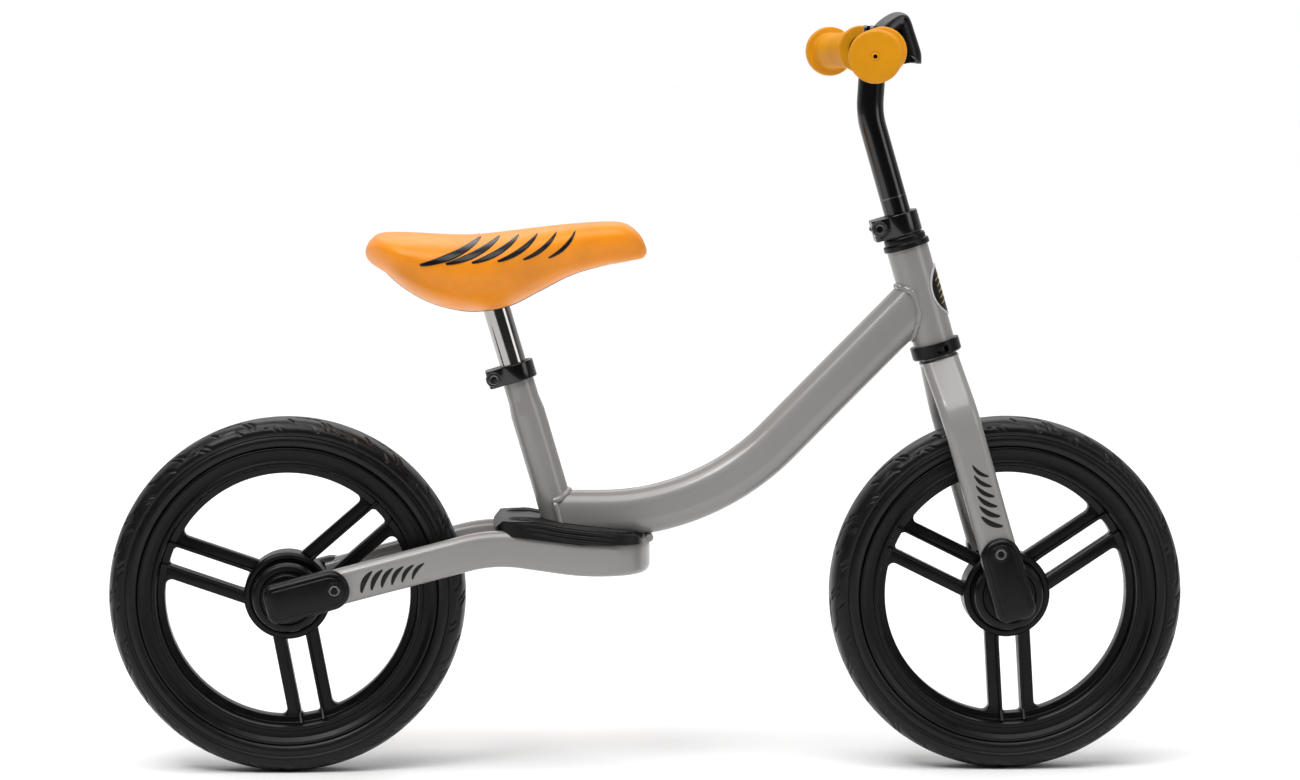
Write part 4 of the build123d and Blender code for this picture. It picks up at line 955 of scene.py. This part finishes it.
def grip_place(side):
    start = BAR_CENTRE + Vector((0, side * BAR_BEND_Y, 0))
    end = Vector((BAR_CENTRE.x - BAR_SWEEP, side * BAR_END_Y, BAR_CENTRE.z - BAR_DROP))
    outwards = (end - start).normalized()
    turn = outwards.to_track_quat("Z", "X").to_matrix().to_4x4()
    return Matrix.Translation(end - outwards * GRIP_LENGTH) @ turn


def grip_outline():
    """The grip's section: inner flange, ribbed body with finger swells, wide end disc."""
    flange = [(11.0, 0.2, 0), (19.9, 0.2, 1.6), (19.9, 4.4, 1.6), (15.9, 5.2, 1.2), (15.4, 6.6, 0)]
    points = [(11.15, 0.2)] + rounded(flange, 4)[1:]
    ribs = 26
    low, high = 8.0, 96.5
    for k in range(ribs * 6 + 1):
        t = k / (ribs * 6)
        wave = max(0.0, sin(2 * pi * ribs * t))
        swell = 0.5 * sin(pi * t) * sin(3 * pi * t) ** 2
        points.append((14.5 + 0.55 * wave**0.7 + swell, low + (high - low) * t))
    end = [(14.4, 97.5, 0), (15.6, 102.2, 2.0), (21.2, 102.9, 1.6), (21.3, 109.9, 2.4)]
    end += [(4.3, 109.9, 0.4), (3.9, 109.4, 0.2), (3.4, 109.4, 0.2), (3.0, 109.9, 0.4)]
    end += [(1.7, 109.9, 0.3), (1.6, 105.0, 0), (11.15, 105.0, 0)]
    return points + rounded(end, 5)


def make_grips():
    for side, word in SIDES:
        form = Form().turn(grip_outline(), grip_place(side), 80)
        name = word + "_grip"
        form.finish(name + "_ribbed", "handlebar", "grip_amber", [name], sharp=50)


# the shield's side view from its foot up, as (x, z) from the crossbar's middle
SHIELD_PATH = [(35.4, -11.0), (35.2, -3.0), (32.4, 6.5), (29.2, 16.0), (26.2, 24.5), (23.4, 28.6)]
SHIELD_PATH += [(18.6, 29.4), (12.6, 26.6), (6.8, 22.2), (3.0, 18.0)]
SHIELD_HALF = 43.2
SHIELD_CORNER = 9.0
SHIELD_LIP = 8.0  # how wide and how deep its side edges are turned in


def shield_keys():
    """The shield's path as keys of (length along it, x, z)."""
    keys = []
    length = 0.0
    for i, (x, z) in enumerate(SHIELD_PATH):
        if i:
            length += hypot(x - SHIELD_PATH[i - 1][0], z - SHIELD_PATH[i - 1][1])
        keys.append((length, x, z))
    return keys


def shield_point(keys, y, s):
    """The sheet's place at a width and a length along its path, with its sides turned in."""
    x, z = smooth_through(keys, s)
    ahead = Vector(smooth_through(keys, min(keys[-1][0], s + 1)))
    ahead -= Vector(smooth_through(keys, max(0, s - 1)))
    inwards = Vector((-ahead.y, ahead.x)).normalized()
    turned = max(0.0, abs(y) - (SHIELD_HALF - SHIELD_LIP)) / SHIELD_LIP
    depth = 2.4 * (y / SHIELD_HALF) ** 2 + SHIELD_LIP * (1 - sqrt(max(0.0, 1 - turned**2)))
    return BAR_CENTRE + Vector((x + inwards.x * depth, y, z + inwards.y * depth))


def make_shield_hood():
    """The hooded plate in front of the crossbar: one bent sheet with round corners."""
    keys = shield_keys()
    rows = []
    for i in range(73):
        y = SHIELD_HALF * sin(pi * (i / 72 - 0.5))
        over = max(0.0, abs(y) - (SHIELD_HALF - SHIELD_CORNER))
        trim = SHIELD_CORNER - sqrt(max(0.0, SHIELD_CORNER**2 - over**2))
        span = keys[-1][0] - 2 * trim
        rows.append([shield_point(keys, y, trim + span * k / 32) for k in range(33)])
    plate = Form().grid(rows).finish(
        "bar_shield_hood", "handlebar", "black_plastic", ["bar_shield"], sharp=70
    )
    thick = plate.modifiers.new("thickness", "SOLIDIFY")
    thick.thickness = 3.6 * MM
    thick.offset = 0
    edge = plate.modifiers.new("edge", "BEVEL")
    edge.width = 1.2 * MM
    edge.segments = 3
    edge.angle_limit = radians(50)
    apply_modifiers(plate)


def make_shield_arms():
    """The two arms that hold the hood on the crossbar."""
    top = [(0.3, -15, 2), (18, -12, 4), (35, -9, 2), (30.5, 8, 0)]
    arm = rounded(top + [(25, 24, 3), (17, 26.5, 2), (0.3, 17, 2)], 4)
    form = Form()
    for y in (-26.0, 26.0):
        place = across(Matrix.Translation((BAR_CENTRE.x, y, BAR_CENTRE.z)), -1)
        form.slab(arm, -3.4, 3.4, 0.9, place, 3)
    form.finish("bar_shield_arms", "handlebar", "black_plastic")


def make_height_mark():
    """The thin ring that marks how far the stem may be pulled up."""
    outline = [(10.9, 84.0), (11.13, 84.0), (11.13, 85.2), (10.9, 85.2)]
    form = Form().turn(outline, HEAD, 64)
    form.finish("stem_height_mark", "handlebar", "black_steel")


# ---- footrest ----
FOOTREST_HALF = 52.0
FOOTREST_REAR = -128.0
FOOTREST_FRONT = -6.0
# x along the footrest, then the height of its top
FOOTREST_TOP = ((FOOTREST_REAR, 211.6), (-112.0, 213.4), (-98.0, 213.0), (-70.0, 208.0))
FOOTREST_TOP += ((-36.0, 204.2), (FOOTREST_FRONT, 201.2))
# across the footrest, the middle of each long ridge and half its width
FOOTREST_RIDGES = (27.0, 34.0, 41.0)
RIDGE_HALF_WIDTH = 2.3
RIDGE_HEIGHT = 1.3


def footrest_top(x):
    return smooth_through(FOOTREST_TOP, x)[0]


def tread_ridge(start, end, middle):
    """Rows of points round one long ridge with round ends, sunk a little into the tread."""
    rows = []
    for i in range(49):
        x = start + (end - start) * i / 48
        share = sqrt(min(1.0, max(0.0, min(x - start, end - x) / 6.0)))
        half = RIDGE_HALF_WIDTH * (0.25 + 0.75 * share)
        top = footrest_top(x)
        row = []
        for k in range(9):
            u = -1 + 2 * k / 8
            rise = RIDGE_HEIGHT * share * (1 - abs(u) ** 2.6) - 0.25
            row.append(Vector((x, middle + half * u, top + rise)))
        for k in range(9):
            u = 1 - 2 * k / 8
            row.append(Vector((x, middle + half * u * 0.9, top - 1.2)))
        rows.append(row)
    return rows


def make_footrest_ridges():
    """Long ridges that give grip on both treads, and three along each of their outer sides."""
    form = Form()
    for side in (-1, 1):
        for n, middle in enumerate(FOOTREST_RIDGES):
            start = FOOTREST_REAR + 9 + 2.4 * n * n
            end = FOOTREST_FRONT - 7 - 1.6 * n * n
            form.grid(tread_ridge(start, end, side * middle), around=True, capped=True)
        for n, drop in enumerate((2.6, 6.4, 10.2)):
            start = FOOTREST_REAR + 18 + 5 * n
            end = FOOTREST_FRONT - 20 - 2 * n
            path = []
            for i in range(49):
                x = start + (end - start) * i / 48
                path.append(Vector((x, side * (FOOTREST_HALF - 0.6), footrest_top(x) - drop)))
            form.tube(path, lambda i: 2.0 * sqrt(max(0.02, sin(pi * (i + 0.5) / 49))), sides=14)
    form.finish("footrest_grip_ridges", "frame", "black_plastic", sharp=60)


# ---- clamps ----
CLAMP_WALL = 3.55
CLAMP_SLIT = 1.0
EAR_HALF = 13.0
EAR_REACH = 24.3


def clamp_outline(bore):
    """A split ring with two ears at the back, which is at negative local X."""
    outer = bore + CLAMP_WALL
    start = asin(min(1.0, EAR_HALF / outer))
    inner_start = asin(CLAMP_SLIT / bore)
    steps = 60
    outside = []
    inside = []
    for k in range(steps + 1):
        angle = pi - start - (2 * pi - 2 * start) * k / steps
        outside.append((outer * cos(angle), outer * sin(angle), 0))
        angle = -pi + inner_start + (2 * pi - 2 * inner_start) * k / steps
        inside.append((bore * cos(angle), bore * sin(angle), 0))
    right = [(-EAR_REACH, -EAR_HALF, 4.2), (-EAR_REACH, -CLAMP_SLIT, 0.8)]
    left = [(-EAR_REACH, CLAMP_SLIT, 0.8), (-EAR_REACH, EAR_HALF, 4.2)]
    return rounded(outside + right + inside + left, 4)


def make_clamps():
    """The two split clamps, each with a socket bolt across its ears."""
    washer = rounded([(4.9, 12.0, 0), (4.9, 13.5, 0.2), (6.2, 13.5, 0.4), (6.6, 12.0, 0)], 3)
    for prefix, body, place, bore, low, high in (
        ("seat", "frame", SEAT, 12.95, 116.0, 131.0),
        ("handlebar", "fork", HEAD, 12.75, 52.4, 70.5),
    ):
        node = prefix + "_clamp"
        form = Form().slab(clamp_outline(bore), low, high, 1.1, place, 4)
        form.finish(node + "_rounded", body, "black_paint", [node])
        bolt = across(place @ Matrix.Translation((-19.0, 0, high - 7.5)), -1)
        form = Form()
        socket_head(form, bolt, 4.7, EAR_HALF - 4.0, EAR_HALF + 1.4)
        form.turn(washer, bolt, 40)
        form.finish(node + "_socket_bolt", body, "black_steel", [node + "_bolt"])


# ---- finish of the CAD pieces ----
def dress_nodes():
    """Gives every CAD piece the finish of its slot."""
    for node in NODES.values():
        for slot in node.material_slots:
            if slot.material:
                slot.material = MATERIALS[slot.material.name.split(".")[0]]
    for name in ("steering_stop_ring", "shield_screws"):
        NODES[name].material_slots[0].material = MATERIALS["black_steel"]


# ---- camera, light and floor ----
CAMERA_PLACE = (-0.201, -3.6, 0.6355)
CAMERA_YAW = radians(-3.21)
CAMERA_PITCH = radians(5.05)
CAMERA_ROLL = radians(0.27)
CAMERA_LENS = 120.77


def make_camera():
    ahead = Vector(
        (-sin(CAMERA_YAW) * cos(CAMERA_PITCH), cos(CAMERA_YAW) * cos(CAMERA_PITCH), -sin(CAMERA_PITCH))
    )
    level = Vector((cos(CAMERA_YAW), sin(CAMERA_YAW), 0))
    up = level.cross(ahead)
    right = cos(CAMERA_ROLL) * level + sin(CAMERA_ROLL) * up
    top = -sin(CAMERA_ROLL) * level + cos(CAMERA_ROLL) * up
    data = bpy.data.cameras.new("camera")
    data.lens = CAMERA_LENS
    data.sensor_width = 36
    data.clip_end = 60
    made = add_object("camera", data)
    turn = Matrix((right, top, -ahead)).transposed().to_4x4()
    made.matrix_world = Matrix.Translation(CAMERA_PLACE) @ turn
    bpy.context.scene.camera = made


def soft_light(name, place, aim, size, power):
    data = bpy.data.lights.new(name, "AREA")
    data.shape = "RECTANGLE"
    data.size, data.size_y = size
    data.energy = power
    made = add_object(name, data)
    made.location = place
    made.rotation_euler = (Vector(aim) - Vector(place)).to_track_quat("-Z", "Y").to_euler()


def wide_sun(name, towards, strength, angle):
    """An even light from one direction, with soft shadows."""
    data = bpy.data.lights.new(name, "SUN")
    data.energy = strength
    data.angle = radians(angle)
    made = add_object(name, data)
    made.rotation_euler = Vector(towards).to_track_quat("-Z", "Y").to_euler()


def make_world():
    """Pale surroundings, dimmer on the camera's side so that black pieces stay deep."""
    world = bpy.data.worlds.new("studio")
    bpy.context.scene.world = world
    world.use_nodes = True
    tree = world.node_tree
    sky = tree.nodes["Background"]
    sky.inputs["Color"].default_value = (1, 1, 1, 1)
    place = tree.nodes.new("ShaderNodeTexCoord")
    parts = tree.nodes.new("ShaderNodeSeparateXYZ")
    tree.links.new(place.outputs["Generated"], parts.inputs["Vector"])
    ramp = tree.nodes.new("ShaderNodeMapRange")
    ramp.inputs["From Min"].default_value = -0.3
    ramp.inputs["From Max"].default_value = 0.8
    ramp.inputs["To Min"].default_value = 0.05
    ramp.inputs["To Max"].default_value = 0.6
    tree.links.new(parts.outputs["Y"], ramp.inputs["Value"])
    seen = tree.nodes.new("ShaderNodeLightPath")
    # a value mix has its factor in socket 0 and its values in 2 and 3; cameras see pure white
    mix = tree.nodes.new("ShaderNodeMix")
    mix.inputs[3].default_value = 1.0
    tree.links.new(seen.outputs["Is Camera Ray"], mix.inputs[0])
    tree.links.new(ramp.outputs["Result"], mix.inputs[2])
    tree.links.new(mix.outputs[0], sky.inputs["Strength"])


def make_studio():
    make_world()
    middle = (0, 0, 0.3)
    wide_sun("top_light", (0.1, 0.35, -1), 2.95, 60)
    soft_light("key_light", (-1.5, -1.9, 2.8), middle, (1.2, 0.9), 30)
    soft_light("fill_light", (2.4, -1.5, 1.3), middle, (1.1, 1.6), 13)
    soft_light("back_light", (0.3, 2.4, 2.2), middle, (3.0, 1.4), 18)

    mesh = bpy.data.meshes.new("floor")
    # wide behind the bike, short in front of it
    half, front, back = 3.4, -1.5, 30.0
    corners = [(-half, front, 0), (half, front, 0), (half + 1.6, back, 0), (-half - 1.6, back, 0)]
    mesh.from_pydata(corners, [], [(0, 1, 2, 3)])
    floor = add_object("floor", mesh)
    paper = Shader("floor_paper", (0.94, 0.94, 0.94), 0.8)
    paper.bump(paper.noise(300.0), 0.0001, 0.1)
    mesh.materials.append(paper.material)
    bpy.context.scene.view_settings.view_transform = "Standard"


make_wheels()
make_upper_cup()
make_clamps()
make_welds()
make_saddle()
make_tube_stripes("fork_stripes", FRONT_END, "fork")
make_tube_stripes("stay_stripes", REAR_END, "frame")
make_badge()
make_grips()
make_shield_hood()
make_shield_arms()
make_height_mark()
make_footrest_ridges()
dress_nodes()
make_studio()
make_camera()
